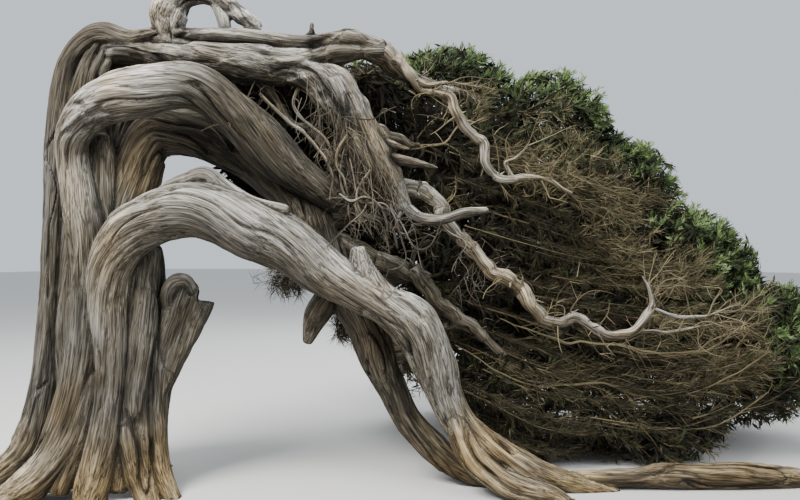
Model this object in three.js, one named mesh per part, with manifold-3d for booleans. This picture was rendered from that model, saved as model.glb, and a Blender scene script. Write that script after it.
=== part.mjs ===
// Phoenician juniper, bent by the wind: an old corded trunk, bare grey boughs that arch over and come back
// to the ground, and a dense crown that streams out to leeward and down to the ground.
// Units are millimetres, +Z is up, and the wind blows towards +X. The origin is on the flat cut at ground
// level, under the middle of the trunk. +Y runs back into the depth of the crown.
import * as THREE from "three";
import { mergeVertices } from "three/addons/utils/BufferGeometryUtils.js";
import Module from "manifold-3d";

const wasm = await Module();
wasm.setup();

// Driving dimensions
const CLEARANCE = 0.4; // left between neighbouring solids
const GROUND_DEPTH = 600; // of the block that cuts the roots off at ground level
const GROUND_SIDE = 16000;
const FLUTES = 3; // long swellings round a limb
const FLUTE_DEPTH = 0.07; // of its radius
const FLUTE_TWIST = 0.0012; // turn along the limb, radians per millimetre
const TRUNK_SIDES = 7;
const BOUGH_SIDES = 7;
const BRANCH_SIDES = 5;
const THIN = 80; // mean radius under which a limb counts as a branch
const TWIG_SIDES = 3;
const RING_SPACING = 3.4; // distance between rings, in limb radii
const SHORTEST_RING = 170;
const TIP_ROUNDING = 0.5; // length of a rounded end, in radii
const DISTANCE_STEP = 45; // between the places along a limb that distances are measured to
const WELD = 1e-3; // corners closer than this are one

// Stops of a route are [x, y, z, radius]. The trunk is a bundle of cords of wood that grew round a core.
const TRUNK_CORDS = [
  [[60, 50, -80, 235], [20, 80, 300, 250], [-60, 130, 1170, 270], [0, 120, 2060, 240],
    [60, 80, 2900, 160]],
  [[-390, 310, -60, 170], [-230, 230, 260, 210], [-140, 180, 700, 200], [-100, 150, 1200, 180]],
  [[-930, -160, -70, 60], [-640, -110, 60, 110], [-400, -50, 250, 150], [-328, 0, 600, 130],
    [-264, 0, 1320, 102], [-262, 20, 2050, 95], [-230, 50, 2800, 97], [-185, 60, 3080, 92],
    [-70, 40, 3220, 88], [100, 10, 3280, 88], [280, 0, 3220, 92]],
  [[-560, -460, -70, 60], [-180, -400, 120, 130], [-10, -330, 350, 165], [90, -240, 820, 176],
    [120, -220, 1340, 180], [40, -190, 1970, 135], [-40, -200, 2420, 105]],
  [[180, -470, -80, 90], [200, -380, 90, 130], [240, -290, 420, 150], [285, -290, 980, 138]],
  [[600, -400, -60, 70], [480, -300, 150, 115], [390, -220, 600, 142], [430, -190, 1120, 145],
    [460, -150, 1680, 105]],
  [[750, -330, -70, 50], [585, -220, 160, 92], [510, -150, 490, 118], [505, -110, 1000, 130],
    [430, -20, 1690, 100]],
  [[160, 0, 1400, 205], [210, 20, 1760, 205], [270, 40, 2040, 180], [400, 90, 2540, 135]],
  [[-560, 420, -70, 90], [-330, 330, 160, 150], [-200, 240, 620, 170], [-150, 200, 1300, 160]],
  [[420, 420, -70, 80], [260, 300, 170, 150], [180, 230, 650, 170], [200, 150, 1300, 150]],
  [[440, -140, 500, 105], [550, -150, 860, 118], [650, -150, 1180, 130], [730, -140, 1430, 132]],
  [[20, 120, 2700, 150], [40, 110, 2900, 140], [70, 80, 3090, 105]],
];

// A plank of broken wood that stands off the trunk's lee side, seen from the front as [x, z]
const SLAB_OUTLINE = [[380, 300], [570, 390], [618, 657], [705, 851], [773, 981], [863, 1161],
  [921, 1305], [849, 1334], [700, 1240], [560, 950], [430, 700]];
const SLAB_FRONT = -120;
const SLAB_THICKNESS = 130;

// The boughs, thickest first. Each is cut clear of the ones before it. `snags` are short dead side limbs.
const BOUGHS = {
  arch_rise: {
    route: [[288, -300, 1040, 136], [262, -315, 1340, 142], [290, -320, 1600, 168],
      [430, -320, 1810, 190], [640, -310, 1920, 195], [890, -300, 1960, 208]],
  },
  arch_span: {
    route: [[890, -300, 1960, 208], [1230, -290, 1830, 214], [1510, -270, 1700, 196],
      [1760, -250, 1515, 168], [2160, -230, 1300, 155]],
    snags: [[[640, -320, 2080, 50], [780, -320, 2150, 62], [930, -310, 2200, 72],
      [1060, -320, 2110, 60], [1250, -330, 2000, 50], [1480, -330, 1950, 40]]],
  },
  arch_fall: {
    route: [[2160, -230, 1300, 155], [2360, -220, 1160, 195], [2480, -200, 930, 170],
      [2570, -190, 670, 128], [2690, -190, 460, 122]],
    snags: [[[2130, -235, 1330, 150], [2010, -240, 1500, 115], [1970, -240, 1680, 62]]],
  },
  arch_foot: {
    route: [[2690, -190, 460, 122], [2890, -190, 290, 135], [3170, -190, 130, 125],
      [3450, -170, 50, 90], [3700, -160, 10, 55]],
    snags: [[[2640, -230, 520, 90], [2760, -290, 260, 105], [2990, -330, 90, 100],
      [3300, -340, 20, 70]]],
  },
  middle_near: {
    route: [[-40, -210, 2330, 108], [-10, -250, 2480, 118], [90, -290, 2600, 140],
      [280, -330, 2720, 180], [520, -340, 2775, 192], [780, -300, 2830, 172]],
  },
  middle_far: {
    route: [[780, -300, 2830, 172], [970, -250, 2750, 158], [1110, -200, 2630, 175],
      [1280, -130, 2450, 180], [1480, -60, 2270, 148], [1680, 0, 2140, 122], [1800, 50, 2040, 95]],
  },
  back_stem_upper: {
    route: [[1480, 120, 2060, 150], [1570, 120, 1900, 180], [1680, 120, 1650, 168],
      [1850, 120, 1380, 152], [2020, 110, 1130, 150]],
  },
  back_stem_lower: {
    route: [[2020, 110, 1130, 150], [2100, 100, 870, 145], [2210, 80, 660, 112],
      [2310, 50, 460, 110], [2490, 20, 260, 118], [2710, -20, 110, 100], [2960, -60, 10, 80]],
  },
  under_bough: {
    route: [[400, 110, 2547, 170], [610, 150, 2573, 178], [850, 160, 2532, 188],
      [1130, 160, 2372, 150], [1480, 140, 2060, 150]],
  },
  upper_bough: {
    route: [[250, 20, 3140, 110], [710, 30, 3085, 122], [1150, 60, 3065, 148], [1480, 80, 3060, 142],
      [1760, 120, 3170, 92], [2130, 145, 3210, 66]],
    snags: [[[230, 10, 3230, 80], [480, 0, 3270, 62], [800, 0, 3260, 55], [1160, 20, 3260, 62],
      [1520, 60, 3230, 66], [1850, 100, 3270, 82], [2120, 140, 3220, 60]], [[1590, 60, 3270, 42],
      [1610, 50, 3370, 16]]],
  },
  top_loop: {
    route: [[560, 40, 3280, 120], [550, 60, 3430, 162], [660, 60, 3570, 105], [840, 60, 3590, 82],
      [1010, 60, 3485, 72], [1110, 50, 3400, 72], [1215, 50, 3325, 50]],
    snags: [[[870, 60, 3560, 50], [940, 50, 3420, 52], [980, 40, 3290, 60]]],
  },
  spur_bough: {
    route: [[1600, 80, 3060, 90], [1740, 60, 2890, 172], [1900, 40, 2660, 150],
      [2040, 20, 2420, 160], [2170, 0, 2200, 142], [2270, -20, 1990, 84]],
    snags: [[[2100, -20, 2360, 60], [2220, -60, 2340, 44], [2380, -90, 2310, 32],
      [2530, -120, 2270, 12]], [[2060, 0, 2500, 50], [2200, -50, 2450, 32], [2330, -80, 2410, 14]]],
  },
  spur_arm: {
    route: [[2290, -30, 1990, 64], [2400, -50, 1910, 52], [2580, -80, 1910, 45],
      [2720, -100, 1950, 42], [2880, -120, 1965, 26]],
  },
  dead_limb_top_near: {
    route: [[2130, 145, 3210, 64], [2260, 120, 3090, 60], [2370, 100, 2950, 50],
      [2480, 90, 2870, 48], [2620, 80, 2810, 50], [2690, 70, 2700, 50]],
    snags: [[[2350, 95, 2980, 46], [2480, 60, 2905, 44], [2610, 30, 2920, 18]]],
  },
  dead_limb_top_far: {
    route: [[2690, 70, 2700, 50], [2740, 60, 2590, 50], [2840, 50, 2480, 50], [2890, 40, 2330, 46],
      [2930, 40, 2230, 46], [3020, 30, 2190, 45], [3150, 20, 2215, 34], [3320, 0, 2210, 22],
      [3510, -20, 2100, 12]],
    snags: [[[3090, 20, 2210, 34], [3030, 0, 2310, 28], [3100, -20, 2360, 20], [3190, -30, 2450, 10]]],
  },
  dead_limb_low_near: {
    route: [[2290, 60, 2150, 86], [2470, 80, 2130, 88], [2570, 70, 2000, 76], [2620, 60, 1850, 66],
      [2760, 40, 1690, 65], [2990, 10, 1510, 65], [3200, -20, 1350, 64]],
  },
  dead_limb_low_far: {
    route: [[3200, -20, 1350, 64], [3300, -40, 1180, 52], [3410, -50, 1150, 46],
      [3510, -50, 1200, 46], [3640, -50, 1140, 48], [3810, -50, 1075, 50], [3960, -40, 1110, 48],
      [4050, -30, 1220, 42], [4085, -20, 1300, 30], [4075, -10, 1410, 20], [4030, 0, 1490, 10]],
    snags: [[[4070, -20, 1270, 30], [4300, 0, 1190, 24], [4490, 20, 1210, 18], [4760, 60, 1290, 9]],
      [[3960, -40, 1100, 28], [4290, -20, 1110, 18], [4600, 0, 1160, 8]]],
  },
  lying_limb: {
    route: [[3480, -150, 75, 62], [3880, -130, 78, 72], [4110, -120, 90, 92], [4390, -110, 85, 92],
      [4660, -100, 90, 100], [5010, -80, 66, 84], [5340, -60, 30, 48]],
  },
  hanging_stub: {
    route: [[1790, 115, 1440, 110], [1640, 100, 1200, 104], [1575, 95, 1010, 40]],
  },
};

// Boughs that carry the crown. Each ends in a tip that the stems of its masses of foliage meet.
const CROWN_BOUGHS = {
  crown_bough_top: [[1990, 125, 3200, 74], [2270, 500, 3120, 62], [2470, 840, 3050, 38]],
  crown_bough_top_far: [[2250, 470, 3120, 58], [2760, 740, 2990, 48], [3180, 960, 2850, 34]],
  crown_bough_top_back: [[1480, 80, 3080, 92], [1570, 460, 3030, 74], [1660, 780, 2950, 44]],
  crown_bough_near_back: [[1130, 160, 2340, 84], [1180, 680, 2360, 70], [1320, 1220, 2220, 42]],
  crown_bough_front_top: [[1950, 80, 2600, 74], [2180, 330, 2570, 54], [2400, 500, 2520, 34]],
  crown_bough_shoulder: [[1560, 120, 1930, 96], [2300, 640, 2040, 84], [3200, 1160, 2150, 66],
    [3900, 1180, 2160, 42]],
  crown_bough_back_top: [[1640, 140, 1900, 92], [1860, 900, 2160, 76], [2350, 1600, 2320, 44]],
  crown_bough_low: [[1640, 160, 1800, 100], [2260, 340, 1550, 82], [2480, 450, 1480, 44]],
  crown_bough_ground: [[2360, 300, 1540, 64], [2580, 360, 1270, 70], [2820, 400, 1090, 58],
    [3080, 440, 860, 36]],
  crown_bough_middle: [[2020, 110, 1130, 84], [2500, 560, 1060, 66], [3200, 860, 1060, 40]],
  crown_bough_slope: [[1850, 120, 1380, 92], [2760, 1160, 1560, 80], [3700, 1420, 1560, 62],
    [4520, 1280, 1450, 38]],
  crown_bough_toe: [[2090, 100, 880, 90], [2900, 1250, 900, 76], [4000, 1400, 880, 58],
    [5080, 1200, 860, 34]],
  crown_bough_back_slope: [[1700, 120, 1600, 90], [2400, 1160, 1660, 76], [3300, 1800, 1640, 42]],
  crown_bough_back_toe: [[2900, 1300, 880, 60], [3500, 1700, 980, 52], [4320, 1900, 960, 34]],
  crown_bough_back_low: [[2170, 90, 720, 76], [2350, 900, 760, 64], [2600, 1700, 840, 38]],
};

// The crown: each mass keeps to its own part of these overlapping rounds, given as a middle and half sizes.
// `leafy` is the share of its twigs that bear leaves. The masses on the near side are mostly dead twigs.
const MASSES = {
  foliage_top_near: { on: "crown_bough_top", at: [2680, 1280, 2960], half: [740, 800, 650], leafy: 1 },
  foliage_top_far: { on: "crown_bough_top_far", at: [3540, 1300, 2700], half: [730, 840, 680], leafy: 1 },
  foliage_top_back: {
    on: "crown_bough_top_back", at: [1820, 1240, 2830], half: [690, 740, 670], leafy: 1,
  },
  foliage_near_back: {
    on: "crown_bough_near_back", at: [1500, 1800, 2080], half: [780, 700, 800], leafy: 0.8,
  },
  foliage_shoulder: {
    on: "crown_bough_shoulder", at: [4210, 1330, 2110], half: [630, 850, 720], leafy: 1,
  },
  foliage_slope: { on: "crown_bough_slope", at: [4900, 1350, 1460], half: [620, 830, 700], leafy: 1 },
  foliage_tip: { on: "crown_bough_toe", at: [5600, 1230, 820], half: [700, 780, 650], leafy: 1 },
  foliage_back_top: {
    on: "crown_bough_back_top", at: [2900, 2120, 2320], half: [930, 680, 880], leafy: 1,
  },
  foliage_back_slope: {
    on: "crown_bough_back_slope", at: [3900, 2180, 1720], half: [880, 660, 930], leafy: 1,
  },
  foliage_back_toe: {
    on: "crown_bough_back_toe", at: [4860, 2040, 980], half: [880, 680, 860], leafy: 1,
  },
  foliage_back_low: {
    on: "crown_bough_back_low", at: [3050, 2280, 900], half: [1080, 680, 900], leafy: 0.8,
  },
  foliage_front_top: {
    on: "crown_bough_front_top", at: [2740, 750, 2430], half: [720, 510, 750], leafy: 0.5,
  },
  foliage_front_mid: {
    on: "crown_bough_shoulder", at: [3560, 790, 2060], half: [750, 530, 790], leafy: 0.4,
  },
  foliage_front_slope: {
    on: "crown_bough_slope", at: [4360, 800, 1470], half: [730, 550, 740], leafy: 0.5,
  },
  foliage_front_toe: { on: "crown_bough_toe", at: [5150, 810, 860], half: [760, 550, 730], leafy: 0.6 },
  dead_twigs_inner: { on: "crown_bough_low", at: [2830, 830, 1600], half: [740, 540, 780], leafy: 0 },
  dead_twigs_middle: {
    on: "crown_bough_middle", at: [3660, 850, 1240], half: [690, 550, 700], leafy: 0.1,
  },
  dead_twigs_low: { on: "crown_bough_ground", at: [3280, 690, 470], half: [740, 580, 660], leafy: 0.1 },
  dead_twigs_ground: {
    on: "crown_bough_middle", at: [4260, 690, 450], half: [780, 580, 680], leafy: 0.2,
  },
};

// Bare tangles of dead twigs that hang among the boughs, each along its own stem.
const TANGLES = {
  tangle_hanging: [[1200, 110, 2960, 34], [1400, 100, 2700, 36], [1550, 80, 2570, 36],
    [1710, 60, 2410, 40], [1810, 10, 2190, 32], [1760, -10, 2030, 14]],
  tangle_spur: [[2060, 80, 2180, 34], [1960, 70, 2040, 28], [2010, 60, 1930, 24],
    [2170, 40, 1880, 18], [2240, 30, 1700, 9]],
  tangle_inner: [[2400, 400, 1450, 34], [2330, 330, 1500, 30], [2360, 250, 1660, 24],
    [2480, 180, 1760, 12]],
};

// The rule that grows a mass
const CORE_SHARE = 0.73; // of the way from the middle of a mass to its edge
const CORE_ROUGHNESS = 0.16;
const CORE_LEAST = 60;
const CORE_CLEARANCE = 1;
const REACH_STEP = 20; // between two tests of how far a mass reaches
const FREE_STEP = 25; // between two tests along a twig
const STEM_SHARE = 0.7; // radius of a mass's stem, of its bough's tip
const TWIGS_PER_MASS = 8;
const TWIG_ROOT = 0.45; // where a twig leaves the middle, of its reach
const TWIG_REACH = 0.92; // of the way to the edge
const TWIG_RADIUS = 16;
const TWIG_TIP = 6;
const TWIG_BEND = 0.55; // where a twig bends, of its length
const TWIG_BOW = 0.12; // how far it bends, of its length
const TWIG_DROOP = 0.3; // share of the twigs that bend down
const TWIG_RINGS = 3;
const SIDE_TWIG_SHARE = 0.4; // length of a side twig, of its parent
const SIDE_TWIG_THIN = 0.7; // its radius, of its parent's
const SIDE_TWIG_SPREAD = 0.8; // how far it turns off
const SIDE_TWIG_RINGS = 2;
const WIND_LEAN = 0.3; // how far the twigs stream to leeward
const LEAFY_LEAST = 0.3; // a mass with fewer leafy twigs is a mass of dead ones
const LEAF_LENGTH = 320; // each leaf stands for a spray
const LEAF_SLIMNESS = 0.42;
const LEAF_WIDEST = 0.42;
const LEAF_THICKNESS = 14;
const LEAF_SINK = 14; // how deep a root is sunk in its twig
const LEAF_TRIES = [1, 0.8, 0.6];
const LEAF_EDGE = 1.09; // how far out a leaf may reach, where the mass ends at 1
const LEAVES_PER_TWIG = 2;
const TIP_LEAF_AT = 0.96; // place of the outermost leaf, between bend and tip
const TIP_LEAF_SPREAD = 0.7;
const LEAF_FROM = 0.1; // the other leaves stand between these two places
const LEAF_TO = 0.8;
const LEAF_SPREAD = 2;
const LEAF_DROOP = 0.3; // share of the leaves that point down
const CELL_MARGIN = 0.035; // between neighbouring masses, of their half sizes
const LIMB_MARGIN = 14; // between a twig and a limb
const GROUND_MARGIN = 25;
const MASS_SEED = 100;
const GOLDEN_ANGLE = Math.PI * (3 - Math.sqrt(5));

// The rule that grows a tangle
const TANGLE_TWIGS = 5;
const TANGLE_SEED = 300;
const TANGLE_TWIG_LEAST = 150; // length of a twig along its two straight parts
const TANGLE_TWIG_SPAN = 130;
const TANGLE_TWIG_DROP = 0.4;
const TANGLE_TWIG_SPREAD = 0.5;
const TANGLE_BEND = 0.5; // length of its first part
const TANGLE_RUN = 0.3; // length of its second part
const TANGLE_HOOK = 0.35; // how far its tip hangs
const TANGLE_RADII = [TWIG_RADIUS, 9, 4];

const UP = new THREE.Vector3(0, 0, 1);
const LEEWARD = new THREE.Vector3(1, 0, 0.1).normalize();

const MATERIALS = {
  bark: new THREE.MeshStandardMaterial({ color: 0x9c9082, roughness: 0.85, metalness: 0 }),
  inner_wood: new THREE.MeshStandardMaterial({ color: 0x6e5b45, roughness: 0.9, metalness: 0 }),
  foliage: new THREE.MeshStandardMaterial({ color: 0x4c5f2b, roughness: 0.8, metalness: 0 }),
  dead_twigs: new THREE.MeshStandardMaterial({ color: 0x6a5638, roughness: 0.9, metalness: 0 }),
};

const RANDOM_STEP = 0x6d2b79f5;
const RANDOM_RANGE = 2 ** 32;

// Small seeded generator of numbers from 0 to 1
function seeded(seed) {
  let state = seed;
  return () => {
    state = (state + RANDOM_STEP) | 0;
    let mixed = Math.imul(state ^ (state >>> 15), 1 | state);
    mixed = (mixed + Math.imul(mixed ^ (mixed >>> 7), 61 | mixed)) ^ mixed;
    return ((mixed ^ (mixed >>> 14)) >>> 0) / RANDOM_RANGE;
  };
}

function toSolid(geometry) {
  const bare = new THREE.BufferGeometry();
  bare.setAttribute("position", geometry.getAttribute("position").clone());
  if (geometry.index) bare.setIndex(geometry.index.clone());
  const merged = mergeVertices(bare, WELD);
  return new wasm.Manifold(
    new wasm.Mesh({
      numProp: 3,
      vertProperties: new Float32Array(merged.attributes.position.array),
      triVerts: new Uint32Array(merged.index.array),
    }),
  );
}

function solidOf(corners, faces) {
  const geometry = new THREE.BufferGeometry();
  const places = corners.flatMap((corner) => corner.toArray());
  geometry.setAttribute("position", new THREE.Float32BufferAttribute(places, 3));
  geometry.setIndex(faces);
  return toSolid(geometry);
}

function toGeometry(solid) {
  const made = solid.getMesh();
  const places = new Float32Array(made.numVert * 3);
  for (let i = 0; i < made.numVert; i++) {
    places.set(made.vertProperties.subarray(i * made.numProp, i * made.numProp + 3), i * 3);
  }
  const geometry = new THREE.BufferGeometry();
  geometry.setAttribute("position", new THREE.BufferAttribute(places, 3));
  geometry.setIndex(new THREE.BufferAttribute(new Uint32Array(made.triVerts), 1));
  geometry.computeVertexNormals();
  return geometry;
}

// Centre, radius and distance run at even steps along a smooth curve through the stops
function sampleRoute(stops, count) {
  const places = stops.map(([x, y, z]) => new THREE.Vector3(x, y, z));
  const curve = new THREE.CatmullRomCurve3(places, false, "centripetal");
  const samples = [];
  let run = 0;
  for (let i = 0; i < count; i++) {
    const share = i / (count - 1);
    const place = share * (stops.length - 1);
    const before = Math.min(Math.floor(place), stops.length - 2);
    const radius = THREE.MathUtils.lerp(stops[before][3], stops[before + 1][3], place - before);
    const centre = curve.getPoint(share);
    if (i) run += centre.distanceTo(samples[i - 1].centre);
    samples.push({ centre, radius, run });
  }
  return samples;
}

function routeLength(stops) {
  let length = 0;
  for (let i = 1; i < stops.length; i++) {
    length += Math.hypot(...[0, 1, 2].map((axis) => stops[i][axis] - stops[i - 1][axis]));
  }
  return length;
}

function meanRadius(stops) {
  return stops.reduce((sum, stop) => sum + stop[3], 0) / stops.length;
}

function tangentsOf(samples) {
  const last = samples.length - 1;
  return samples.map((sample, i) => {
    const before = samples[Math.max(i - 1, 0)].centre;
    const after = samples[Math.min(i + 1, last)].centre;
    return after.clone().sub(before).normalize();
  });
}

// The corners of a tube: ring after ring, then the points of its two rounded ends
function tubeCorners(samples, sides, grow) {
  const tangents = tangentsOf(samples);
  const last = samples.length - 1;
  const flute = sides > TWIG_SIDES ? FLUTE_DEPTH : 0;
  const side = new THREE.Vector3(0, 1, 0).cross(tangents[0]);
  const corners = [];
  samples.forEach(({ centre, radius, run }, i) => {
    side.addScaledVector(tangents[i], -side.dot(tangents[i])).normalize();
    const across = tangents[i].clone().cross(side);
    const outward = Number(i === last) - Number(i === 0);
    for (let k = 0; k < sides; k++) {
      const angle = (2 * Math.PI * k) / sides;
      const size = radius * (1 + flute * Math.cos(FLUTES * angle + FLUTE_TWIST * run)) + grow;
      const corner = centre.clone().addScaledVector(tangents[i], outward * grow);
      corner.addScaledVector(side, size * Math.cos(angle));
      corners.push(corner.addScaledVector(across, size * Math.sin(angle)));
    }
  });
  for (const [i, way] of [[0, -1], [last, 1]]) {
    const reach = way * (TIP_ROUNDING * samples[i].radius + grow);
    corners.push(samples[i].centre.clone().addScaledVector(tangents[i], reach));
  }
  return corners;
}

// A closed tapering tube round a route, with a rounded tip at each end
function tube(stops, sides, { grow = 0, rings = 0 } = {}) {
  const spacing = Math.max(SHORTEST_RING, RING_SPACING * meanRadius(stops));
  const count = rings || Math.max(stops.length, Math.ceil(routeLength(stops) / spacing) + 1);
  const corners = tubeCorners(sampleRoute(stops, count), sides, grow);
  const startTip = count * sides;
  const lastRing = startTip - sides;
  const faces = [];
  for (let k = 0; k < sides; k++) {
    const next = (k + 1) % sides;
    for (let ring = 0; ring < lastRing; ring += sides) {
      const [a, b, c, d] = [ring + k, ring + next, ring + sides + k, ring + sides + next];
      faces.push(a, b, d, a, d, c);
    }
    faces.push(startTip, next, k, startTip + 1, lastRing + k, lastRing + next);
  }
  return solidOf(corners, faces);
}

function union(solids) {
  return solids.reduce((whole, solid) => whole.add(solid));
}

// Drops the loose scraps that a cut leaves
function largestBody(solid) {
  const bodies = solid.decompose();
  return bodies.reduce((best, body) => (body.volume() > best.volume() ? body : best));
}

function boxOf(solid) {
  const { min, max } = solid.boundingBox();
  return new THREE.Box3(new THREE.Vector3(...min), new THREE.Vector3(...max));
}

// Every limb made so far: its places for distance tests, and a solid a clearance larger for cuts
const limbs = [];

// Distance from a point to the nearest limb, other than the ones that belong to `owner`
function nearestLimbGap(point, owner) {
  let gap = Infinity;
  for (const limb of limbs) {
    if ((owner && limb.owner === owner) || limb.bounds.distanceToPoint(point) > gap) continue;
    for (const { centre, radius } of limb.samples) gap = Math.min(gap, centre.distanceTo(point) - radius);
  }
  return gap;
}

// Remembers a solid for distance tests and cuts. What belongs to a mass makes way for what came before.
function remember(own, grown, samples, owner) {
  const bounds = boxOf(grown);
  for (const limb of owner ? limbs : []) {
    const rival = limb.owner && limb.owner !== owner;
    if (rival && limb.bounds.intersectsBox(bounds)) grown = grown.subtract(limb.own);
  }
  limbs.push({ own, grown, samples, bounds, owner });
}

function rememberLimb(routes, sides, owner) {
  const samples = routes.flatMap((route) =>
    sampleRoute(route, Math.ceil(routeLength(route) / DISTANCE_STEP) + 2),
  );
  const own = union(routes.map((route) => tube(route, sides)));
  const grown = union(routes.map((route) => tube(route, sides, { grow: CLEARANCE })));
  remember(own, grown, samples, owner);
}

function cutClear(solid, owner) {
  const box = boxOf(solid);
  for (const limb of limbs) {
    if (owner && limb.owner === owner) continue;
    if (limb.bounds.intersectsBox(box)) solid = solid.subtract(limb.grown);
  }
  return largestBody(solid);
}

// The slab, an outline pushed back along +Y
function slab() {
  const outline = new THREE.Shape(SLAB_OUTLINE.map(([x, z]) => new THREE.Vector2(x, z)));
  const plank = new THREE.ExtrudeGeometry(outline, { depth: SLAB_THICKNESS, bevelEnabled: false });
  return toSolid(plank.rotateX(Math.PI / 2).translate(0, SLAB_FRONT + SLAB_THICKNESS, 0));
}

const ground = toSolid(
  new THREE.BoxGeometry(GROUND_SIDE, GROUND_SIDE, GROUND_DEPTH).translate(0, 0, -GROUND_DEPTH / 2),
);

// Joins the cords of one limb and cuts it clear of every earlier limb and of the ground
function growLimb(routes, sides, extras = []) {
  const cords = routes.map((route) => tube(route, sides));
  const cut = cutClear(union([...cords, ...extras]).subtract(ground));
  rememberLimb(routes, sides);
  return cut;
}

// How far out a point lies in a mass, as a share of its half sizes
function depthIn(mass, point) {
  const shares = point.toArray().map((value, axis) => (value - mass.at[axis]) / mass.half[axis]);
  return Math.hypot(...shares);
}

function keepsToCell(mass, point, room, edge = 1) {
  const own = depthIn(mass, point);
  if (own > edge || point.z < GROUND_MARGIN + room) return false;
  return Object.values(MASSES).every((other) => other === mass || depthIn(other, point) > own + CELL_MARGIN);
}

function keepsToSpace(mass, point, room, edge) {
  return keepsToCell(mass, point, room, edge) && nearestLimbGap(point, mass) > LIMB_MARGIN + room;
}

// How far one can go from the middle of a mass along a direction and stay in its cell
function cellReach(mass, middle, direction, edge) {
  const place = middle.clone();
  let reach = 0;
  while (keepsToCell(mass, place.addScaledVector(direction, REACH_STEP), 0, edge)) reach += REACH_STEP;
  return reach;
}

function segmentIsFree(mass, from, to, room) {
  const pieces = Math.ceil(from.distanceTo(to) / FREE_STEP);
  for (let i = 1; i <= pieces; i++) {
    if (!keepsToSpace(mass, from.clone().lerp(to, i / pieces), room)) return false;
  }
  return true;
}

function randomVector(random, x, y, z) {
  return new THREE.Vector3(random() - x, random() - y, random() - z);
}

// A leaf of eight faces: a kite with a ridge on both sides. Gives its corners, the root first.
function leafCorners(root, direction, side, length) {
  const across = direction.clone().cross(side).normalize();
  const start = root.clone().addScaledVector(direction, -LEAF_SINK);
  const widest = start.clone().addScaledVector(direction, LEAF_WIDEST * length);
  const half = across.clone().multiplyScalar((LEAF_SLIMNESS * length) / 2);
  const ridge = direction.clone().cross(across).multiplyScalar(LEAF_THICKNESS / 2);
  return [
    start,
    start.clone().addScaledVector(direction, length),
    widest.clone().add(half),
    widest.clone().sub(half),
    widest.clone().add(ridge),
    widest.clone().sub(ridge),
  ];
}

const LEAF_FACES = [0, 4, 2, 0, 3, 4, 0, 5, 3, 0, 2, 5, 1, 2, 4, 1, 4, 3, 1, 3, 5, 1, 5, 2];

// The dense middle of a mass: a rough round that stays inside its cell
function growCore(mass, seed, grow) {
  const random = seeded(seed);
  const middle = new THREE.Vector3(...mass.at);
  const geometry = new THREE.IcosahedronGeometry(1, 1);
  geometry.deleteAttribute("normal");
  geometry.deleteAttribute("uv");
  const round = mergeVertices(geometry, WELD);
  const places = round.getAttribute("position");
  for (let i = 0; i < places.count; i++) {
    const direction = new THREE.Vector3().fromBufferAttribute(places, i).normalize();
    const edge = CORE_SHARE * (1 + CORE_ROUGHNESS * (2 * random() - 1));
    const reach = Math.max(CORE_LEAST, cellReach(mass, middle, direction, edge)) + grow;
    places.setXYZ(i, ...middle.clone().addScaledVector(direction, reach).toArray());
  }
  return toSolid(round);
}

// One twig, with a bend in it. Gives the bend, or nothing where the twig would leave its mass's space.
function growTwig(mass, from, to, radius, rings, random, out) {
  const bow = TWIG_BOW * from.distanceTo(to) * (random() - TWIG_DROOP);
  const bend = from.clone().lerp(to, TWIG_BEND).addScaledVector(UP, bow);
  if (!segmentIsFree(mass, bend, to, radius)) return null;
  const places = [from, bend, to];
  const radii = [radius, (radius + TWIG_TIP) / 2, TWIG_TIP];
  out.push(tube(places.map((place, i) => [...place.toArray(), radii[i]]), TWIG_SIDES, { rings }));
  return bend;
}

// Leaves on a twig: one at its tip, the others along it. One that doesn't fit is tried shorter or skipped.
function growLeaves(mass, bend, to, random, out) {
  const along = to.clone().sub(bend).normalize();
  for (let i = 0; i < LEAVES_PER_TWIG; i++) {
    const atTip = i === 0;
    const place = atTip ? TIP_LEAF_AT : LEAF_FROM + (LEAF_TO - LEAF_FROM) * random();
    const spread = randomVector(random, 0.5, 0.5, LEAF_DROOP);
    const wide = atTip ? TIP_LEAF_SPREAD : LEAF_SPREAD;
    const direction = along.clone().addScaledVector(spread, wide).normalize();
    const side = randomVector(random, 0.5, 0.5, 0).normalize();
    for (const share of LEAF_TRIES) {
      const corners = leafCorners(bend.clone().lerp(to, place), direction, side, LEAF_LENGTH * share);
      if (!corners.slice(1).every((corner) => keepsToSpace(mass, corner, 0, LEAF_EDGE))) continue;
      out.push(solidOf(corners, LEAF_FACES));
      break;
    }
  }
}

// A dead twig bears a side twig instead of leaves
function growSideTwig(mass, bend, direction, length, random, out) {
  const sideways = direction.clone().cross(UP).normalize();
  sideways.applyAxisAngle(direction, 2 * Math.PI * random());
  const way = direction.clone().addScaledVector(sideways, SIDE_TWIG_SPREAD).normalize();
  const to = bend.clone().addScaledVector(way, length);
  growTwig(mass, bend, to, TWIG_RADIUS * SIDE_TWIG_THIN, SIDE_TWIG_RINGS, random, out);
}

// The way of one of the twigs of a mass, which stand out all round and lean to leeward
function twigDirection(i, random) {
  const height = 1 - (2 * i + 1) / TWIGS_PER_MASS;
  const turn = GOLDEN_ANGLE * i + random();
  const flat = Math.sqrt(1 - height * height);
  const direction = new THREE.Vector3(flat * Math.cos(turn), flat * Math.sin(turn), height);
  return direction.addScaledVector(LEEWARD, WIND_LEAN).normalize();
}

// The stem of a mass, from the tip of its bough to its middle
function stemRoute(mass) {
  const bough = CROWN_BOUGHS[mass.on];
  const [x, y, z, radius] = bough[bough.length - 1];
  return [[x, y, z, radius * STEM_SHARE], [...mass.at, radius * STEM_SHARE]];
}

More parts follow.
